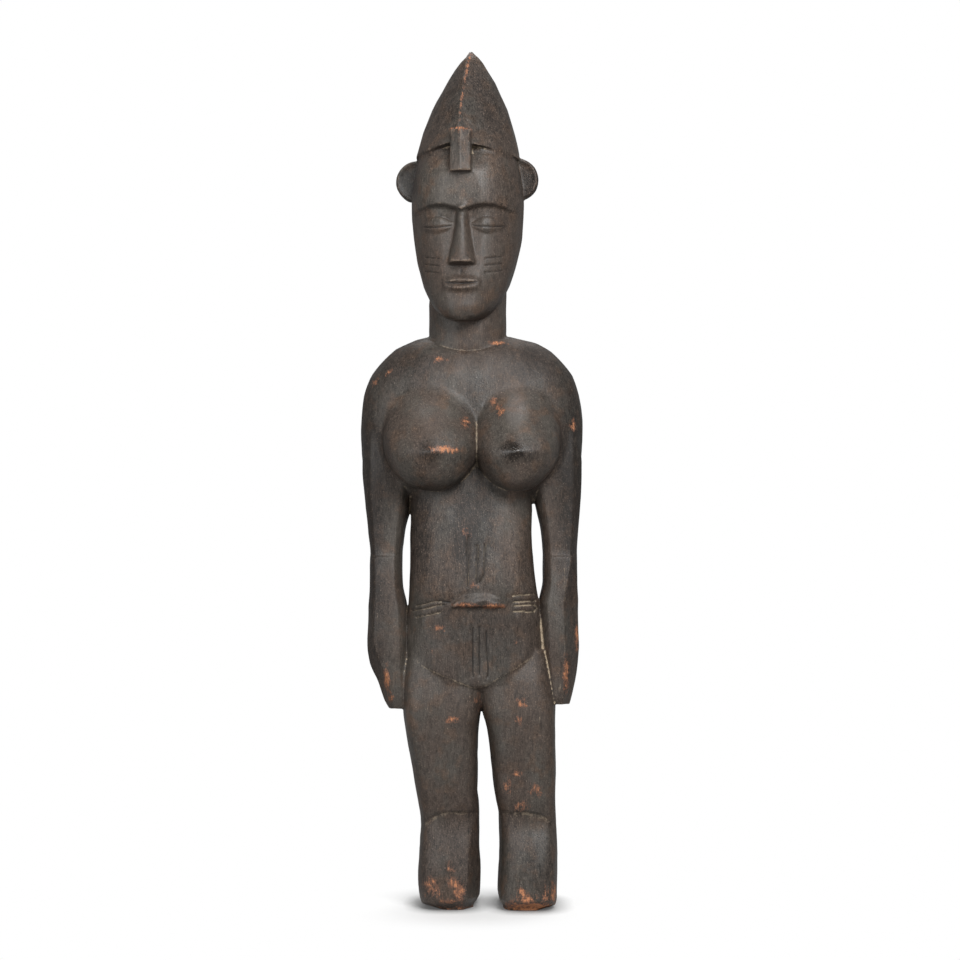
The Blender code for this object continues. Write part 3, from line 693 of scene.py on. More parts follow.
def head():
    """The skull and jaw, with the face raised and sunk along the line of sight."""
    levels = stack_levels(HEAD, HEAD_RINGS)
    flat_front = 0.955 + 0.045 * step(BROW_SHARE, 1, (levels[:, None] - CHIN_LEVEL) / FACE_HEIGHT)
    x, y, z = stacked(HEAD, levels, HEAD_SQUARENESS, ((-90, flat_front),), HEAD_SIDES)
    return skin(x, y - front_share(x, y) * face_relief(x, z), z)


skins.append(neck())
skins.append(turned(head()))


# The coiffure and ears: hair dressed up to a keeled point, with a brim that hangs over the brow and
# a square-ended lock in front. The ears are upright discs, faintly dished.
FIGURE_HEIGHT = 855 * MM
BRIM_LEVEL = 745 * MM
BRIM_RISE = 12 * MM
BRIM_DROP = 45 * MM
CREST_FRONT = 67 * MM
CREST_BACK = 70 * MM
CREST_HALF_WIDTH = 51.5 * MM
CREST_ARC_RADIUS = 245 * MM
TIP_LEAN = 4 * MM
TIP_BLUNTNESS = 3.6 * MM
KEEL_OFFSET = 4 * MM
HALVINGS = 40
LOCK_WIDTH = 20 * MM
LOCK_TOP_LEVEL = 768 * MM
LOCK_END_LEVEL = 727 * MM
LOCK_FRONT = 74 * MM
LOCK_DEPTH = 24 * MM
LOCK_LEAN = 2 * MM
LOCK_RINGS = 60
LEFT_EAR = (-52.5 * MM, 725 * MM)
RIGHT_EAR = (49.5 * MM, 726.5 * MM)
EAR_RADIUS = 21 * MM
EAR_THICKNESS = 15 * MM
EAR_DEPTH = 8 * MM
# The ear's rim from its dished front to its back: shares of the radius and of the thickness.
EAR_PROFILE = (
    (0.02, 0.5),
    (0.9, 0.48),
    (0.99, 0.3),
    (1, 0),
    (0.99, -0.35),
    (0.9, -0.5),
    (0.68, -0.4),
    (0.02, -0.34),
)


def coiffure():
    """A pointed arch from the front, whose halves are arcs; in plan a lens with a keel before and
    behind, half width = w (1 - |y / reach|^n), found along each ray by halving."""
    angle = around(420)
    up = np.linspace(0, 1, 260)[:, None] ** 0.8
    across, along = np.cos(angle), np.sin(angle)
    lift = np.where(along < 0, BRIM_RISE * (1 - np.abs(across)), -BRIM_DROP * along**2)
    z = BRIM_LEVEL + lift + up * (FIGURE_HEIGHT - BRIM_LEVEL - lift)
    below_tip = np.maximum(FIGURE_HEIGHT - z, 0)
    tall = FIGURE_HEIGHT - BRIM_LEVEL
    chord = math.hypot(CREST_HALF_WIDTH, tall) / 2
    sag = CREST_ARC_RADIUS - math.sqrt(CREST_ARC_RADIUS**2 - chord**2)
    straight = below_tip / tall
    bow = 4 * sag * np.clip(straight * (1 - straight), 0, None)
    blunt = TIP_BLUNTNESS * step(0, 0.12, straight) * (1 - np.clip(straight, 0, 1))
    half_width = CREST_HALF_WIDTH * np.clip(straight, 0, 1) + bow + blunt
    front = CREST_FRONT * (below_tip / (tall - BRIM_RISE)) ** 0.74
    back = CREST_BACK * np.clip(below_tip / tall, 0, 1) ** 0.62
    fullness = 1.7 + 0.9 * np.clip(straight, 0, 1) ** 2
    reach = np.where(along < 0, front, back)
    low, high = np.zeros_like(z), 2 * reach + half_width
    for _ in range(HALVINGS):
        radius = (low + high) / 2
        depth = np.clip(np.abs(radius * along) / np.maximum(reach, 1e-9), 0, 1)
        side_inside = np.abs(radius * across) < half_width * (1 - depth**fullness)
        inside = side_inside & (np.abs(radius * along) < reach)
        low = np.where(inside, radius, low)
        high = np.where(inside, high, radius)
    keel_share = np.clip(-low * along / np.maximum(front, 1e-9), 0, 1) ** 2
    x, y = low * across + TIP_LEAN * up - KEEL_OFFSET * keel_share, low * along
    under = [x[:1] * 0.7, y[:1] * 0.7, z[:1] - 1 * MM]
    x, y, z = (np.vstack([lip, grid]) for lip, grid in zip(under, (x, y, z)))
    return skin(x, y, z)


def lock():
    """A squared bar with a soft middle edge, leaning back a little towards its top."""
    levels = np.linspace(LOCK_END_LEVEL, LOCK_TOP_LEVEL, LOCK_RINGS)
    rise = (levels - LOCK_END_LEVEL) / (LOCK_TOP_LEVEL - LOCK_END_LEVEL)
    half = np.full(LOCK_RINGS, LOCK_WIDTH / 2)
    front = LOCK_LEAN * rise - LOCK_FRONT
    flats = ((-64, 0.83), (-116, 0.83))
    x, y = rounded_section(-half, half, front, front + LOCK_DEPTH, 6, flats, sides=160)
    return skin(x, y, spread(levels, x))


def ear(place_x, level):
    """A disc on edge: rings follow the rim's profile from the dished front to the back."""
    out, back = np.array(EAR_PROFILE).T
    corners = np.arange(len(EAR_PROFILE))
    place = np.linspace(0, corners[-1], 90)
    radius = EAR_RADIUS * np.interp(place, corners, out)[:, None]
    depth = EAR_THICKNESS * np.interp(place, corners, back)[:, None]
    angle = -around(180)
    x = place_x + radius * np.cos(angle)
    z = level + radius * np.sin(angle)
    return skin(x, EAR_DEPTH + depth + np.zeros_like(x), z)


skins.append(turned(coiffure()))
skins.append(turned(lock()))
skins.append(turned(ear(*LEFT_EAR)))
skins.append(turned(ear(*RIGHT_EAR)))


# The carved surface: the skins are fused into one body of wood. Adze and knife leave long shallow
# facets, and the point of a knife draws the lines on the belly, hips, face and eyes.
GRAIN_OF_FUSING = 0.95 * MM
MOST_TRIANGLES = 192000
WAVER = 0.9 * MM
WAVER_SIZE = 48 * MM
RIPPLE_SIZE = 19 * MM
FACET_SIZE = (16 * MM, 16 * MM, 34 * MM)
FACET_DEPTH = 1.5 * MM
FACET_MEAN = 0.35
CUT_WIDTH = 2.5 * MM
CUT_DEPTH = 1.5 * MM
CUT_SWAY = 1.5 * MM
SWAY_SIZE = 16 * MM
SLIT_DEPTH = 1.3 * MM
FOLD_DEPTH = 0.7 * MM
PARTING_DEPTH = 1.5 * MM
FACE_LINE_WIDTH = 2.4 * MM
FACE_LINE_DEPTH = 1.1 * MM
COLLAR_DEPTH = 0.9 * MM
COLLAR_LEVEL = 554 * MM
COLLAR_RISE = 11 * MM
COLLAR_REACH = 1.4 * MM
SOLE_REACH = 0.7 * MM
FLAT_SOLE = 0.4 * MM
EASING = 0.5
EASING_ROUNDS = 2
SOFTENING_ROUNDS = 22
BEND_ROUNDS = 5
SHARP_BEND = 0.09
KEEL_REACH = 3 * MM
# How freely the thinning may merge points: on plain wood, on the face, and on cuts and edges.
PLAIN_FREEDOM = 1.0
FACE_FREEDOM = 0.6
FINE_FREEDOM = 0.25
# Knife lines on the belly and hips: from x, z to x, z, on the front.
BELLY_CUTS = (
    (-4.2, 369, -4.2, 321),
    (5.1, 361, 5.1, 324),
    (12.9, 362, 12.9, 334),
    (12.9, 334, 8, 325),
    (1.2, 281, 1.2, 232),
    (7.6, 282, 7.6, 234),
    (14.6, 277, 15.8, 232),
)
HIP_CUTS = (
    (40, 312, 60, 312.5),
    (60, 312.5, 64, 309),
    (64, 309, 62, 305.5),
    (62, 305.5, 41, 305.5),
    (42, 301.5, 61, 302),
    (61, 302, 64, 298.5),
    (64, 298.5, 61, 295),
    (61, 295, 41, 296),
    (-21, 306, -40, 305.5),
    (-40, 305.5, -55, 301),
    (-28, 303, -60, 296),
    (-31, 295.5, -55, 290),
)


def scatter(cells):
    """Three fixed scattered numbers from 0 to 1 for each whole-number cell, by mixing its bits."""
    a, b, c = (cells[..., i].astype(np.int64) for i in range(3))
    mixed = (a * 73856093) ^ (b * 19349663) ^ (c * 83492791)
    shares = []
    for _ in range(3):
        mixed = (mixed * 1103515245 + 12345) & 0x7FFFFFFF
        shares.append(((mixed >> 8) & 0xFFFF) / 65535)
    return np.stack(shares, axis=-1)


def waver(points, size):
    """Smooth noise from 0 to 1: scattered numbers on a lattice of size, blended by smooth steps."""
    place = points / size
    cell = np.floor(place)
    share = place - cell
    share = share * share * (3 - 2 * share)
    total = np.zeros(len(points))
    for corner in np.ndindex(2, 2, 2):
        weight = np.prod(np.where(corner, share, 1 - share), axis=1)
        total += weight * scatter(cell + np.array(corner))[:, 0]
    return total


def facets(points, size):
    """Hollows with low ridges between them: squared distance to the nearest scattered centre."""
    place = points / np.array(size)
    cell = np.floor(place)
    nearest = np.full(len(points), 9.0)
    for neighbour in np.ndindex(3, 3, 3):
        there = cell + np.array(neighbour) - 1
        gap = there + scatter(there) - place
        nearest = np.minimum(nearest, np.einsum("ij,ij->i", gap, gap))
    return np.clip(nearest, 0, 0.8)


def stroke(x, z, line, width=CUT_WIDTH):
    """A straight cut seen from the front: 1 on the line, falling to 0 at half the width from it."""
    x0, z0, x1, z1 = (value * MM for value in line)
    long = math.hypot(x1 - x0, z1 - z0)
    way_x, way_z = (x1 - x0) / long, (z1 - z0) / long
    run = np.clip((x - x0) * way_x + (z - z0) * way_z, 0, long)
    away = np.hypot(x - x0 - run * way_x, z - z0 - run * way_z)
    return np.clip(1 - away / (width / 2), 0, 1)


def at_face(z):
    """The levels of the face, from the chin to the brim."""
    return (z > CHIN_LEVEL) * (z < BRIM_LEVEL)


def head_place(points):
    """The points as the head sees them, before it was turned on the neck."""
    cosine, sine = math.cos(HEAD_TURN), math.sin(HEAD_TURN)
    x, y = points[:, 0] - NECK_OFFSET, points[:, 1]
    return cosine * x + sine * y, -sine * x + cosine * y, points[:, 2]


def keel_line(points, reach):
    """The front edge of the coiffure above its lock: 1 on the edge, falling to 0 at reach."""
    x, _, z = head_place(points)
    up = np.clip((z - BRIM_LEVEL) / (FIGURE_HEIGHT - BRIM_LEVEL), 0, 1)
    edge_x = TIP_LEAN * up - KEEL_OFFSET * (1 - up**3)
    return bump(x - edge_x, reach) * (points[:, 1] < -3 * MM) * step(0.22, 0.3, up)


def shoulder_seams(points):
    """Where the arms leave the dome of the shoulders, on the front."""
    x, y, z = points.T
    along = step(400 * MM, 415 * MM, z) * (1 - step(500 * MM, 515 * MM, z))
    return 0.7 * bump(np.abs(x) - 94 * MM, 13 * MM) * along * (y < 0)


def belly_cuts(points, normals):
    """The knife lines on the belly and hips, as a share of their full depth."""
    sway = CUT_SWAY * (waver(points, SWAY_SIZE) - 0.5)
    x, z = points[:, 0] + sway, points[:, 2] + sway
    cut = np.zeros(len(points))
    for line in BELLY_CUTS + HIP_CUTS:
        cut = np.maximum(cut, stroke(x, z, line))
    return cut * step(0.15, 0.5, -normals[:, 1]) * (points[:, 1] < 0)


def face_cuts(points, normals):
    """Knife work on the face, in metres of depth: slit eyes, lid folds, parted lips, nostrils and
    three short lines on each cheek."""
    x, y, z = head_place(points)
    share = (z - CHIN_LEVEL) / FACE_HEIGHT
    side = np.abs(x)
    from_pupil = (side - EYE_SPREAD) / EYE_HALF_WIDTH
    over_eye = 1 - step(0.8, 1, np.abs(from_pupil))
    from_slit = np.abs(share - EYE_SHARE + 0.016 - 0.012 * from_pupil**2) * FACE_HEIGHT
    slit = SLIT_DEPTH * np.clip(1 - from_slit / (1.2 * MM), 0, 1) * over_eye
    from_fold = np.abs(share - EYE_SHARE - 0.05 * (1 - 0.75 * from_pupil**2)) * FACE_HEIGHT
    fold = FOLD_DEPTH * np.clip(1 - from_fold / (1.3 * MM), 0, 1) * over_eye
    from_parting = np.abs(share - MOUTH_SHARE - 0.008 * (side / (17 * MM)) ** 2) * FACE_HEIGHT
    parting = PARTING_DEPTH * np.clip(1 - from_parting / (1.3 * MM), 0, 1)
    parting *= 1 - step(14 * MM, 18 * MM, side)
    groove = 0.9 * MM * bump(x, 2.4 * MM) * bump(share - 0.285, 0.03)
    lines = np.zeros(len(points))
    for row in range(3):
        level = CHIN_LEVEL / MM + FACE_HEIGHT / MM * (0.37 - 0.042 * row)
        line = (23, level - 1.5, 38, level + 1)
        lines = np.maximum(lines, stroke(side, z, line, FACE_LINE_WIDTH))
    lines *= step(0, 0.3, -normals[:, 1])
    front = (y < 0) * (share > 0) * (share < 1.05)
    return front * (slit + fold + parting + groove + FACE_LINE_DEPTH * lines)


def laid_mesh(name, forms):
    """One mesh from the points, quads and triangles of many skins."""
    points = np.vstack([form[0] for form in forms])
    starts = np.cumsum([0] + [len(form[0]) for form in forms[:-1]])
    quads = np.vstack([form[1] + start for form, start in zip(forms, starts)])
    triangles = np.vstack([form[2] + start for form, start in zip(forms, starts)])
    corners = np.concatenate([quads.ravel(), triangles.ravel()]).astype(np.int32)
    first = 4 * np.arange(len(quads))
    rest = 4 * len(quads) + 3 * np.arange(len(triangles))
    mesh = bpy.data.meshes.new(name)
    mesh.vertices.add(len(points))
    mesh.loops.add(len(corners))
    mesh.polygons.add(len(quads) + len(triangles))
    mesh.vertices.foreach_set("co", points.ravel())
    mesh.loops.foreach_set("vertex_index", corners)
    mesh.polygons.foreach_set("loop_start", np.concatenate([first, rest]).astype(np.int32))
    mesh.update(calc_edges=True)
    mesh.validate()
    return mesh


def edge_ends(mesh):
    """The two points at the ends of each edge of a mesh."""
    ends = np.empty(len(mesh.edges) * 2, np.int32)
    mesh.edges.foreach_get("vertices", ends)
    return ends.reshape(-1, 2).T


def soften(points, ends, share, rounds):
    """Draws each point towards the mean of its neighbours by share, again and again."""
    inside = np.flatnonzero(share > 0.01)
    place = np.full(len(points), -1)
    place[inside] = np.arange(len(inside))
    a, b = ends[:, (place[ends[0]] >= 0) & (place[ends[1]] >= 0)]
    a, b = place[a], place[b]
    count = np.bincount(a, minlength=len(inside)) + np.bincount(b, minlength=len(inside))
    soft, weight = points[inside], (share[inside] * (count > 0))[:, None]
    for _ in range(rounds):
        near = np.zeros_like(soft)
        for axis in range(3):
            near[:, axis] += np.bincount(a, soft[b, axis], len(inside))
            near[:, axis] += np.bincount(b, soft[a, axis], len(inside))
        soft += weight * (near / np.maximum(count, 1)[:, None] - soft)
    points[inside] = soft


def brim_sides(points):
    """Where the coiffure lies close to the brow, beside the lock: a band along the brim."""
    x, y, z = head_place(points)
    along = BRIM_LEVEL + BRIM_RISE * (1 - np.clip(np.abs(x) / CREST_HALF_WIDTH, 0, 1))
    beside = step(15 * MM, 32 * MM, np.abs(x)) * (1 - step(44 * MM, 49 * MM, np.abs(x)))
    return 0.6 * beside * (1 - step(4 * MM, 9 * MM, np.abs(z - along))) * (y < -8 * MM)


def finished(thing):
    """The mesh of an object with its modifiers applied."""
    thing_now = thing.evaluated_get(bpy.context.evaluated_depsgraph_get())
    return bpy.data.meshes.new_from_object(thing_now)


def point_rows(mesh):
    """A mesh's points and the directions its surface faces there, as rows of three."""
    points = np.empty(len(mesh.vertices) * 3, np.float32)
    normals = np.empty(len(mesh.vertices) * 3, np.float32)
    mesh.vertices.foreach_get("co", points)
    mesh.vertex_normals.foreach_get("vector", normals)
    return points.reshape(-1, 3).astype(float), normals.reshape(-1, 3).astype(float)


def crease_and_edge(points, normals, ends, rounds):
    """How far each point lies in a crease (above 0) or on an edge (below 0): the mean of the steps
    to its neighbours, measured along the normal and against their length."""
    a, b = ends
    count = np.bincount(a, minlength=len(points)) + np.bincount(b, minlength=len(points))
    gap = points[b] - points[a]
    rise_a = np.einsum("ij,ij->i", gap, normals[a])
    rise_b = -np.einsum("ij,ij->i", gap, normals[b])
    length = np.linalg.norm(gap, axis=1)
    bend = np.bincount(a, rise_a, len(points)) + np.bincount(b, rise_b, len(points))
    bend /= np.bincount(a, length, len(points)) + np.bincount(b, length, len(points)) + 1e-9
    for _ in range(rounds):
        near = np.bincount(a, bend[b], len(points)) + np.bincount(b, bend[a], len(points))
        bend = 0.5 * bend + 0.5 * near / np.maximum(count, 1)
    return bend


def collar(points):
    """The knife line where the neck meets the chest, which rises to the sides: 1 on the line."""
    x, y, z = points.T
    level = COLLAR_LEVEL + COLLAR_RISE * np.clip((x - NECK_OFFSET) / (NECK_WIDTH / 2), -1, 1) ** 2
    beside = step(NECK_WIDTH / 2, 1.15 * NECK_WIDTH / 2, np.abs(x - NECK_OFFSET))
    return np.clip(1 - np.abs(z - level) / COLLAR_REACH, 0, 1) * (1 - beside) * (y < 0)


def cut_surface(mesh):
    """Softens the brim's sides and the arms' seams, then moves each point along its normal by the
    sum of waver, facets and knife cuts; the soles stay flat on the ground. Returns the share of
    the face's front."""
    points, normals = point_rows(mesh)
    softened = brim_sides(points) + shoulder_seams(points)
    soften(points, edge_ends(mesh), softened, SOFTENING_ROUNDS)
    rise = WAVER * (waver(points, WAVER_SIZE) - 0.5)
    rise += 0.5 * WAVER * (waver(points, RIPPLE_SIZE) - 0.5)
    z = points[:, 2]
    on_face = at_face(z) * step(0.1, 0.5, -normals[:, 1])
    hollow = facets(points, FACET_SIZE) - FACET_MEAN
    rise += FACET_DEPTH * (1 - 0.8 * on_face) * hollow
    rise -= CUT_DEPTH * belly_cuts(points, normals) + face_cuts(points, normals)
    rise -= COLLAR_DEPTH * collar(points)
    on_sole = z < SOLE_REACH
    points += normals * (rise * ~on_sole)[:, None]
    points[:, 2] = np.where(on_sole, 0, np.maximum(points[:, 2], 0))
    mesh.vertices.foreach_set("co", points.astype(np.float32).ravel())
    mesh.update()
    return on_face


figure = bpy.data.objects.new("carved_wood", laid_mesh("rough_log", skins))
bpy.context.scene.collection.objects.link(figure)
fusing = figure.modifiers.new("fusing", "REMESH")
fusing.mode = "VOXEL"
fusing.voxel_size = GRAIN_OF_FUSING
easing = figure.modifiers.new("easing", "SMOOTH")
easing.factor = EASING
easing.iterations = EASING_ROUNDS
body_of_wood = finished(figure)
figure.modifiers.clear()
on_face = cut_surface(body_of_wood)
fine_points, fine_normals = point_rows(body_of_wood)
fine_bend = crease_and_edge(fine_points, fine_normals, edge_ends(body_of_wood), BEND_ROUNDS)
kept_fine = belly_cuts(fine_points, fine_normals) > 0
kept_fine |= np.abs(fine_bend) > SHARP_BEND
kept_fine |= face_cuts(fine_points, fine_normals) > 0
kept_fine |= keel_line(fine_points, KEEL_REACH) > 0
figure.data = body_of_wood
plain = figure.vertex_groups.new(name="plain")
plain.add(list(range(len(fine_points))), PLAIN_FREEDOM, "REPLACE")
plain.add(np.flatnonzero(on_face > 0.5).tolist(), FACE_FREEDOM, "REPLACE")
plain.add(np.flatnonzero(kept_fine).tolist(), FINE_FREEDOM, "REPLACE")
triangle_count = sum(len(face.vertices) - 2 for face in body_of_wood.polygons)
thinning = figure.modifiers.new("thinning", "DECIMATE")
thinning.ratio = MOST_TRIANGLES / triangle_count
thinning.vertex_group = "plain"
thinning.vertex_group_factor = 1
figure.data = finished(figure)
figure.modifiers.clear()
figure.vertex_groups.clear()
figure.data.name = "carved_wood"
figure.data.shade_smooth()
points, normals = point_rows(figure.data)
nearest = KDTree(len(fine_points))
for index, point in enumerate(fine_points):
    nearest.insert(point, index)
nearest.balance()
bend = fine_bend[[nearest.find(point)[1] for point in points]]
points[:, 2] = np.where(points[:, 2] < FLAT_SOLE, 0, points[:, 2])
own_low, own_high = points.min(axis=0), points.max(axis=0)
fitted = cad_low + (points - own_low) * (cad_high - cad_low) / (own_high - own_low)
eye(cad_low - own_low * (cad_high - cad_low) / (own_high - own_low))


# The patina: near-black brown with fine grain, bare orange wood where edges and raised places are
# rubbed or chipped, and pale dust lodged in the creases and cuts. Over it lie patches of painted light
# and shade, partly from handling, a painted cool highlight, and painted shade in the floor of the knife
# cuts.
WOOD = (0.060, 0.0443, 0.0352, 1)
COOL = (0.050, 0.0438, 0.0372, 1)
WARM = (0.073, 0.0478, 0.0335, 1)
# A painted highlight: the pale cool colour laid over the brightest painted patches.
PAINTED_HIGHLIGHT = (0.135, 0.130, 0.130, 1)
RUBBED = (0.19, 0.14, 0.105, 1)
RUDDY = (0.135, 0.066, 0.042, 1)
BARE = (0.43, 0.182, 0.086, 1)
DUST = (0.40, 0.32, 0.225, 1)
# Painted shade for the floor of the knife cuts.
PAINTED_GROOVE_SHADE = (0.012, 0.009, 0.0075, 1)
# Patterns in the wood: how much each is drawn out along x, y and z, then the noise's scale in cells
# per metre, its detail and its roughness.
STREAKS = ((1, 1, 0.14), 800, 4, 0.62)
MOTTLE = ((1, 1, 0.7), 230, 4, 0.66)
CLOUDS = ((1, 1, 0.5), 27, 3, 0.55)
BLUSH = ((1, 1, 1), 60, 3, 0.55)
FINE_GRAIN = ((1, 1, 0.8), 820, 3, 0.75)
# How each layer answers to its pattern or mask: where it starts, where it is full, and the share of
# the layer at both.
COOL_RANGE = (0.40, 0.64, 0, 0.9)
WARM_RANGE = (0.48, 0.68, 0, 0.75)
CONTRAST_RANGE = (0, 1, 4.2, 6.2)
SPECK_RANGE = (0.62, 0.74, 0, 1)
SPECK_STRENGTH_RANGE = (0, 1, 2.2, 5.0)
PAINTED_HIGHLIGHT_RANGE = (0.15, 1.0, 0, 0.5)
RUBBED_RANGE = (0.2, 0.9, 0, 0.7)
RAGGED_RANGE = (0.02, 0.3, 0.42, 1.0)
RUDDY_RANGE = (0.25, 0.5, 0, 0.85)
BARE_RANGE = (0.55, 1.0, 0, 0.95)
DUST_RANGE = (0.25, 1.0, 0, 0.8)
PAINTED_GROOVE_SHADE_RANGE = (0.2, 0.55, 0, 0.9)
ROUGHNESS_RANGE = (0.3, 0.7, 0.56, 0.42)
# Shares of the streaks, mottle and fine grain in the weave of the wood.
WEAVE = (0.34, 0.26, 0.40)
DARKEST = 0.25
LIGHTEST = 3.5
BARE_ROUGHNESS = 0.3
POLISH_ROUGHNESS = -0.3
SPECULAR = 0.34
BUMP_STRENGTH = 0.7
BUMP_DISTANCE = 0.0008
# Rubbed patches and patches of painted light and shade: the size of their ragged edges, the width of
# the rubbed keel, and where their soft rims start and end, as shares of the listed half widths.
RAGGED_SIZE = 7 * MM
RUBBED_KEEL = 1.6 * MM
WORN_RIM = (0.2, 1.8)
HANDLING_AND_PAINTED_LIGHT_RIM = (0.3, 1.4)
NIPPLE_RIM = (6, 16)
# How far out the breasts reach and how low, and the same for the knife lines on the hips.
BREASTS_SIDE = 84 * MM
BREASTS_FOOT = 400 * MM
HIP_CUTS_MIDDLE = 4 * MM
HIP_CUTS_SIDE = 33 * MM
HIP_CUTS_FOOT = 285 * MM
LEGS_MIDDLE = 17 * MM
LEG_SPREAD = 37 * MM
SCRATCH_WIDTH = 2.2 * MM
# Each nipple's x and z, and how polished it is.
NIPPLES = ((-39, 453, 0.5), (39, 453, 1.0))
# Where the wood is painted lighter or darker on the front, partly for handling and partly as painted
# light and shade: painted highlights on the breast tops and ribs, painted shade on the ears, shoulders,
# arm sides, ribs and between the breasts. Each is x, z, half width, half height, and how much lighter.
HANDLING_AND_PAINTED_LIGHT = (
    (-12, 722, 40, 22, 0.28),
    (2, 800, 60, 46, -0.34),
    (-66, 725, 13, 26, -0.7),
    (60, 727, 12, 26, -0.5),
    (-38, 490, 26, 24, 0.4),
    (43, 494, 13, 26, 0.65),
    (4, 512, 14, 30, -0.35),
    (-38, 432, 34, 14, 0.12),
    (42, 432, 30, 14, 0.12),
    (72, 545, 44, 34, -0.38),
    (-72, 545, 44, 34, -0.4),
    (102, 430, 20, 110, -0.7),
    (-104, 420, 22, 110, -0.7),
    (100, 282, 14, 80, -0.25),
    (-98, 282, 16, 80, -0.4),
    (-50, 385, 16, 60, -0.45),
    (0, 385, 28, 62, -0.6),
    (40, 385, 14, 55, 0.35),
    (4, 270, 60, 44, -0.26),
    (0, 50, 90, 50, -0.2),
    (6, 150, 70, 50, -0.09),
    (66, 55, 16, 36, -0.25),
    (56, 451, 7, 8, -0.45),
)
# Rubbed and chipped places: x, z, half width, half height, and how bare they are.
WORN_SPOTS = (
    (-96, 522, 3, 3, 0.75),
    (-83, 532, 4, 2.5, 0.6),
    (-32, 545, 6, 2.5, 0.8),
    (28, 493, 3, 5, 0.85),
    (21, 502, 3, 4, 0.7),
    (-6, 482, 3.5, 5, 0.9),
    (100, 480, 2.5, 5, 0.85),
    (-26, 455, 14, 3.4, 0.8),
    (-4, 374, 4.5, 4, 0.65),
    (25, 561, 8, 2, 0.8),
    (-6, 303, 12, 2.4, 0.62),
    (21, 302, 10, 2.8, 0.9),
    (2, 322, 6, 2.5, 0.6),
    (-32, 281, 5, 3, 0.8),
    (-84, 229, 3, 12, 0.85),
    (-80, 210, 3, 4, 0.7),
    (104, 271, 2, 14, 0.8),
    (93, 233, 2.6, 16, 0.85),
    (48, 207, 5, 3.5, 0.95),
    (-20, 190, 7, 2.6, 0.95),
    (45, 192, 3.5, 2.5, 0.7),
    (44, 138, 4, 4, 0.85),
    (35, 123, 4, 5, 0.7),
    (63, 120, 7, 6, 0.5),
    (48, 104, 9, 5, 0.5),
    (-22, 43, 5, 5, 0.65),
    (-12, 20, 5, 11, 0.85),
    (-18, 28, 7, 5, 0.55),
    (-40, 24, 8, 10, 0.5),
    (-24, 10, 12, 3, 0.45),
    (49, 17, 4, 7, 0.8),
    (55, 13, 9, 3.5, 0.85),
    (76, 14, 7, 3, 0.8),
    (71, 20, 2, 6, 0.75),
    (81, 19, 3, 9, 0.8),
    (37, 6, 4, 4, 0.75),
    (60, 3, 23, 7, 1.0),
    (42, 9, 6, 3, 0.7),
    (-40, 253, 1.5, 5, 0.5),
    (43, 268, 3, 5, 0.4),
    (-11, 769, 11, 2, 0.75),
    (6, 206, 4, 10, 0.35),
)
# Fine pale scratches on the front, from x, z to x, z.
SCRATCHES = (
    (-25, 229, -19, 236),
    (-14, 247, -8, 251),
    (-45.5, 281, -45, 262),
    (-53, 262, -54, 240),
    (30, 252, 36, 256),
    (66, 203, 67, 178),
    (91, 348, 92.5, 270),
    (92, 262, 87, 218),
    (12, 188, 17, 191),
    (26, 40, 26.5, 33),
    (40, 33, 40.5, 27),
)


def keep(mesh, name, values):
    """Stores one number for each point of a mesh, for its material to read."""
    layer = mesh.attributes.new(name, "FLOAT", "POINT")
    layer.data.foreach_set("value", values.astype(np.float32))


def spot(points, place):
    """How far each point lies from the middle of an ellipse, seen from the front: 1 on its rim."""
    at_x, at_z, half_width, half_height = place
    x, z = points[:, 0] / MM, points[:, 2] / MM
    return np.hypot((x - at_x) / half_width, (z - at_z) / half_height)


def wear(points, bend):
    """How rubbed the wood is at each point, from 0 to 1: sharp edges, the keel, the foot of each
    leg, and the listed places on the front, each an ellipse with a soft rim."""
    y, z = points[:, 1], points[:, 2]
    ragged = waver(points, RAGGED_SIZE) - 0.5
    on_face = at_face(z) * (y < -30 * MM)
    rubbed = (0.45 + 0.35 * on_face * (ragged > 0.1)) * step(0.1, 0.3, -bend)
    up = (z - BRIM_LEVEL) / (FIGURE_HEIGHT - BRIM_LEVEL)
    bareness = 0.34 + 0.32 * step(0.62, 0.76, up) + 0.4 * bump(up - 0.52, 0.03)
    rubbed = np.maximum(rubbed, bareness * keel_line(points, RUBBED_KEEL))
    foot = 1 - step(0.5 * MM, 4 * MM, z + 7 * MM * ragged)
    rubbed = np.maximum(rubbed, 0.6 * foot)
    for *place, bareness in WORN_SPOTS:
        patch = bareness * (1 - step(*WORN_RIM, spot(points, place))) * (y < 0)
        rubbed = np.maximum(rubbed, patch)
    return rubbed


def handling_and_painted_light(points):
    """How much lighter, or below 0 darker, the wood is painted at each point: partly handling, partly
    painted light and shade.
    """
    tone = np.zeros(len(points))
    for *place, lighter in HANDLING_AND_PAINTED_LIGHT:
        tone += lighter * (1 - step(*HANDLING_AND_PAINTED_LIGHT_RIM, spot(points, place))) * (points[:, 1] < 10 * MM)
    return tone


def grainy(points):
    """How open the grain is, from 0 to 1: most on the forehead, ribs, belly and shins."""
    x, y, z = points.T
    trunk_part = (0.35 + 0.65 * step(300 * MM, 330 * MM, z)) * (1 - step(395 * MM, 420 * MM, z))
    trunk_part *= (np.abs(x - BODY_AXIS) < 66 * MM) * (z > 195 * MM)
    shins = 0.5 * (1 - step(85 * MM, 105 * MM, z))
    breasts = 0.4 * (z > 405 * MM) * (z < 530 * MM) * (np.abs(x) < BREASTS_SIDE)
    head_part = 0.8 * step(680 * MM, 690 * MM, z)
    return (y < 0) * np.max([trunk_part, shins, breasts, head_part], axis=0)


def at_elbow(points):
    """The ledge at each elbow: 1 on it."""
    return bump(points[:, 2] - ELBOW_LEVEL, 5 * MM) * (np.abs(points[:, 0]) > 66 * MM)


def on_shoulder(points):
    """Outside the breasts and above the armpits, where the arms leave the shoulders."""
    return (np.abs(points[:, 0]) > BREASTS_SIDE) * (points[:, 2] > BREASTS_FOOT)


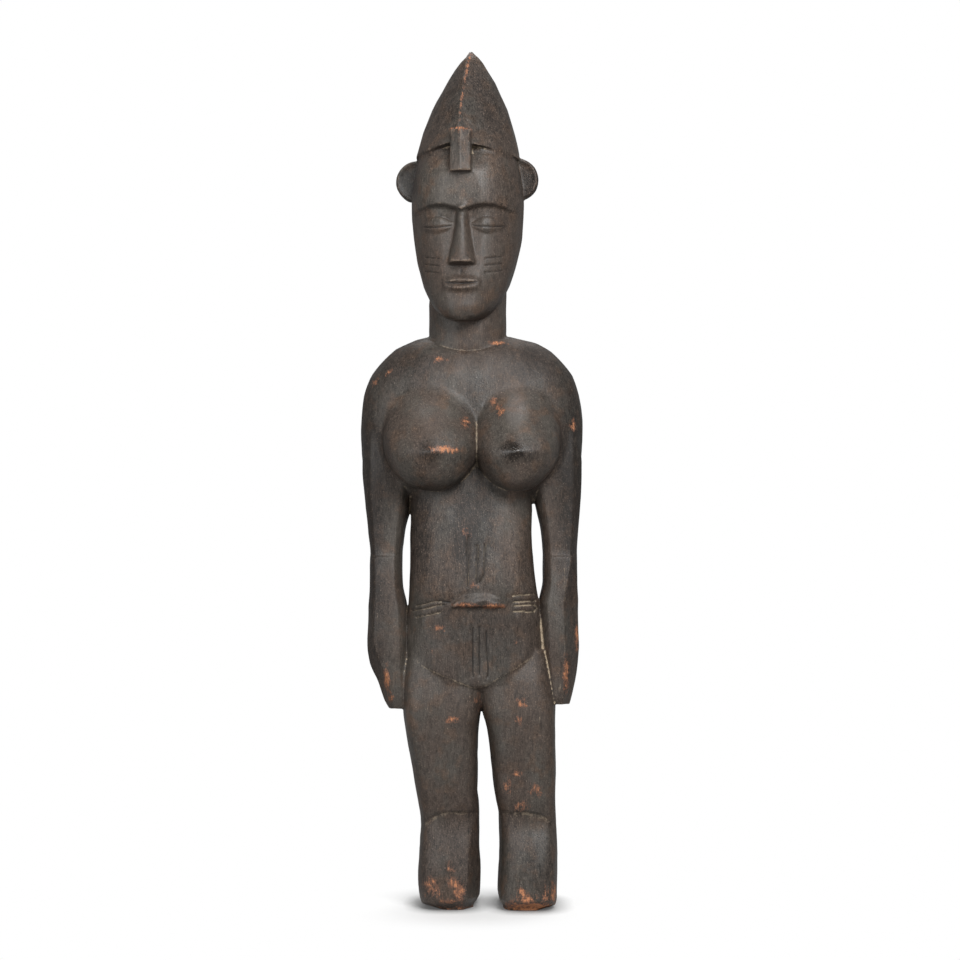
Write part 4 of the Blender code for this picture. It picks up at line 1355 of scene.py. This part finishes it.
def crease_dust(points, normals, bend):
    """Dust lodged in creases, thickest between arm and hip, thin on the face, none in the crotch."""
    x, y, z = points.T
    on_face = at_face(z) * (normals[:, 1] < -0.3)
    by_hip = step(58 * MM, 64 * MM, np.abs(x)) * (z < 312 * MM) * (y < 0)
    crotch = bump(x - 9 * MM, 14 * MM) * (z < 222 * MM)
    knee = step(75 * MM, 82 * MM, z) * (1 - step(104 * MM, 110 * MM, z))
    by_breast = (z > BREASTS_FOOT) * (z < 510 * MM) * (np.abs(x) < BREASTS_SIDE) * (y < 0)
    amount = 0.8 + by_hip * np.where(x > 0, 0.5, -0.05)
    amount *= (1 - 0.8 * on_face) * (1 - crotch) * (1 - 0.8 * knee) * (1 - 0.6 * at_elbow(points))
    amount *= 1 - on_shoulder(points)
    amount *= 1 - 0.25 * by_breast
    low = 0.03 + by_hip * np.where(x > 0, 0.01, 0.05) - 0.01 * by_breast
    return amount * step(low, low + 0.1, bend)


def dust_lines(points, normals):
    """Dust along the edge of the apron, under each knee and beside each knife cut, from 0 to 1."""
    x, y, z = points.T
    forward = step(0.3, 0.7, -normals[:, 1]) * (y < 0)
    apron = bump(z - apron_edge(x), 1.4 * MM) * (1 - step(0.8, 0.95, apron_across(x)))
    out = np.clip((np.abs(x - LEGS_MIDDLE) - LEG_SPREAD) / KNEE_HALF_WIDTH, 0, 1)
    below_knee = KNEE_LEVEL - KNEE_DROP * out**2 - z
    knee = bump(below_knee - 1 * MM, 2.8 * MM) + 0.4 * bump(below_knee - 9 * MM, 7 * MM)
    knee *= 0.1 + 1.4 * waver(points, 9 * MM)
    beside = (0.4 + 0.15 * (z > 315 * MM)) * step(0.02, 0.3, belly_cuts(points, normals))
    from_middle = np.abs(x - HIP_CUTS_MIDDLE)
    on_hip = step(HIP_CUTS_SIDE - 3 * MM, HIP_CUTS_SIDE + 3 * MM, from_middle) * (z > HIP_CUTS_FOOT)
    beside *= 1 + (0.25 + 0.7 * (x > 0)) * on_hip
    scratch = np.zeros(len(points))
    for line in SCRATCHES:
        scratch = np.maximum(scratch, stroke(x, z, line, SCRATCH_WIDTH))
    marks = np.maximum(beside, 0.5 * scratch)
    return forward * np.maximum(np.maximum(0.55 * apron, 0.4 * knee), marks)


def rubbed_edges(points, bend):
    """How far each edge is rubbed to a lighter brown, less at the elbows, not where the arms start."""
    seam = on_shoulder(points) * (points[:, 1] < 0)
    return step(0.03, 0.14, -bend) * (1 - 0.6 * at_elbow(points)) * (1 - seam)


def painted_cut_shade(points, normals):
    """How dark the floor of each knife cut is painted, a painted shade in the groove, less on the hips,
    where the cuts are full of dust.
    """
    from_middle = np.abs(points[:, 0] - HIP_CUTS_MIDDLE)
    on_hip = (from_middle > HIP_CUTS_SIDE) * (points[:, 2] > HIP_CUTS_FOOT)
    body_cuts = belly_cuts(points, normals) * (1 - 0.55 * on_hip)
    return np.maximum(body_cuts, 0.8 * face_cuts(points, normals) / CUT_DEPTH)


def by_nipples(points):
    """The dark polish round each nipple, which fades out over NIPPLE_RIM, in millimetres."""
    polished = np.zeros(len(points))
    for at_x, at_z, polish in NIPPLES:
        away = spot(points, (at_x, at_z, 1, 1))
        polished = np.maximum(polished, polish * (1 - step(*NIPPLE_RIM, away)) * (points[:, 1] < 0))
    return polished


def patina():
    """The wood's material. Patterns of noise weave the grain; each layer of colour then lies over
    the last by its own range of a pattern or mask, and the same patterns drive gloss and bump."""
    material = bpy.data.materials.new("dark_patinated_wood")
    material.use_nodes = True
    tree = material.node_tree
    shader = tree.nodes["Principled BSDF"]
    place = add_node(tree, "ShaderNodeTexCoord").outputs["Object"]

    def pattern(drawn_out, scale, detail, roughness):
        """Noise from 0 to 1 on the figure's own coordinates."""
        drawn = add_node(tree, "ShaderNodeMapping", {"Vector": place, "Scale": drawn_out}).outputs[0]
        inputs = {"Vector": drawn, "Scale": scale, "Detail": detail, "Roughness": roughness}
        return add_node(tree, "ShaderNodeTexNoise", inputs).outputs["Fac"]

    def kept(name):
        """A mask that was stored with the mesh."""
        return add_node(tree, "ShaderNodeAttribute", attribute_name=name).outputs["Fac"]

    def plus(one, other):
        return worked(tree, "ADD", one, other)

    def times(one, other):
        return worked(tree, "MULTIPLY", one, other)

    def ranged(value, limits):
        return smoothed(tree, value, *limits)

    def centred(value, strength):
        """A pattern drawn out round its mean of a half."""
        return times(worked(tree, "SUBTRACT", value, 0.5), strength)

    def layered(share, under, over):
        """One colour over another by share."""
        inputs = {"Factor": share, "A": under, "B": over}
        return add_node(tree, "ShaderNodeMix", inputs, data_type="RGBA").outputs["Result"]

    streaks, mottle, clouds = pattern(*STREAKS), pattern(*MOTTLE), pattern(*CLOUDS)
    blush, fine = pattern(*BLUSH), pattern(*FINE_GRAIN)
    of_streaks, of_mottle, of_fine = WEAVE
    weave = plus(plus(times(streaks, of_streaks), times(mottle, of_mottle)), times(fine, of_fine))
    tone = layered(ranged(clouds, COOL_RANGE), WOOD, COOL)
    tone = layered(ranged(blush, WARM_RANGE), tone, WARM)
    shade = times(centred(weave, 1.0), ranged(kept("grainy"), CONTRAST_RANGE))
    # The tone is scaled by the grain and by the patches of painted light and shade, which are partly
    # handling.
    shade = plus(shade, plus(kept("handling_and_painted_light"), 1.0))
    shade = plus(shade, centred(clouds, 1.0))
    specks = times(ranged(fine, SPECK_RANGE), ranged(kept("grainy"), SPECK_STRENGTH_RANGE))
    shade = worked(tree, "MAXIMUM", plus(shade, specks), DARKEST)
    tone = scaled(tree, tone, worked(tree, "MINIMUM", shade, LIGHTEST))
    # A painted highlight: a pale cool colour over the brightest patches, on the forehead, breast tops
    # and ribs.
    tone = layered(ranged(kept("handling_and_painted_light"), PAINTED_HIGHLIGHT_RANGE), tone, PAINTED_HIGHLIGHT)
    grained = plus(centred(fine, 1.5), plus(centred(mottle, 2.2), centred(streaks, 1.2)))
    tone = layered(ranged(plus(kept("rub"), times(grained, 0.5)), RUBBED_RANGE), tone, RUBBED)
    worn = plus(kept("worn"), times(grained, ranged(kept("worn"), RAGGED_RANGE)))
    tone = layered(ranged(worn, RUDDY_RANGE), tone, RUDDY)
    bare = ranged(worn, BARE_RANGE)
    tone = layered(bare, tone, BARE)
    dust = ranged(plus(kept("dust"), times(grained, 0.35)), DUST_RANGE)
    tone = layered(dust, tone, DUST)
    # Painted shade: near-black laid in the floor of each knife cut.
    tone = layered(ranged(kept("cut"), PAINTED_GROOVE_SHADE_RANGE), tone, PAINTED_GROOVE_SHADE)
    tree.links.new(tone, shader.inputs["Base Color"])
    dull = times(worked(tree, "MAXIMUM", bare, dust), BARE_ROUGHNESS)
    roughness = plus(ranged(clouds, ROUGHNESS_RANGE), dull)
    roughness = plus(roughness, times(kept("polish"), POLISH_ROUGHNESS))
    tree.links.new(plus(roughness, centred(mottle, 0.2)), shader.inputs["Roughness"])
    shader.inputs["Specular IOR Level"].default_value = SPECULAR
    height = plus(weave, times(bare, -0.15))
    inputs = {"Strength": BUMP_STRENGTH, "Distance": BUMP_DISTANCE, "Height": height}
    bumps = add_node(tree, "ShaderNodeBump", inputs)
    tree.links.new(bumps.outputs[0], shader.inputs["Normal"])
    return material


polished = by_nipples(points)
lighter = handling_and_painted_light(points)
dust = np.maximum(crease_dust(points, normals, bend), dust_lines(points, normals))
keep(figure.data, "worn", wear(points, bend))
keep(figure.data, "rub", rubbed_edges(points, bend))
# The cut attribute carries the painted shade in the floor of the knife cuts.
keep(figure.data, "cut", painted_cut_shade(points, normals))
keep(figure.data, "dust", dust)
# Patches of painted light and shade, partly handling, less the darker polish round the nipples.
keep(figure.data, "handling_and_painted_light", lighter - 0.7 * polished)
keep(figure.data, "grainy", grainy(points))
keep(figure.data, "polish", np.maximum(polished, np.clip(lighter, -0.8, 0.6)))
figure.data.vertices.foreach_set("co", fitted.astype(np.float32).ravel())
figure.data.update()
figure.data.materials.clear()
figure.data.materials.append(patina())
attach(figure, "root")
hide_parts("carved_figure")
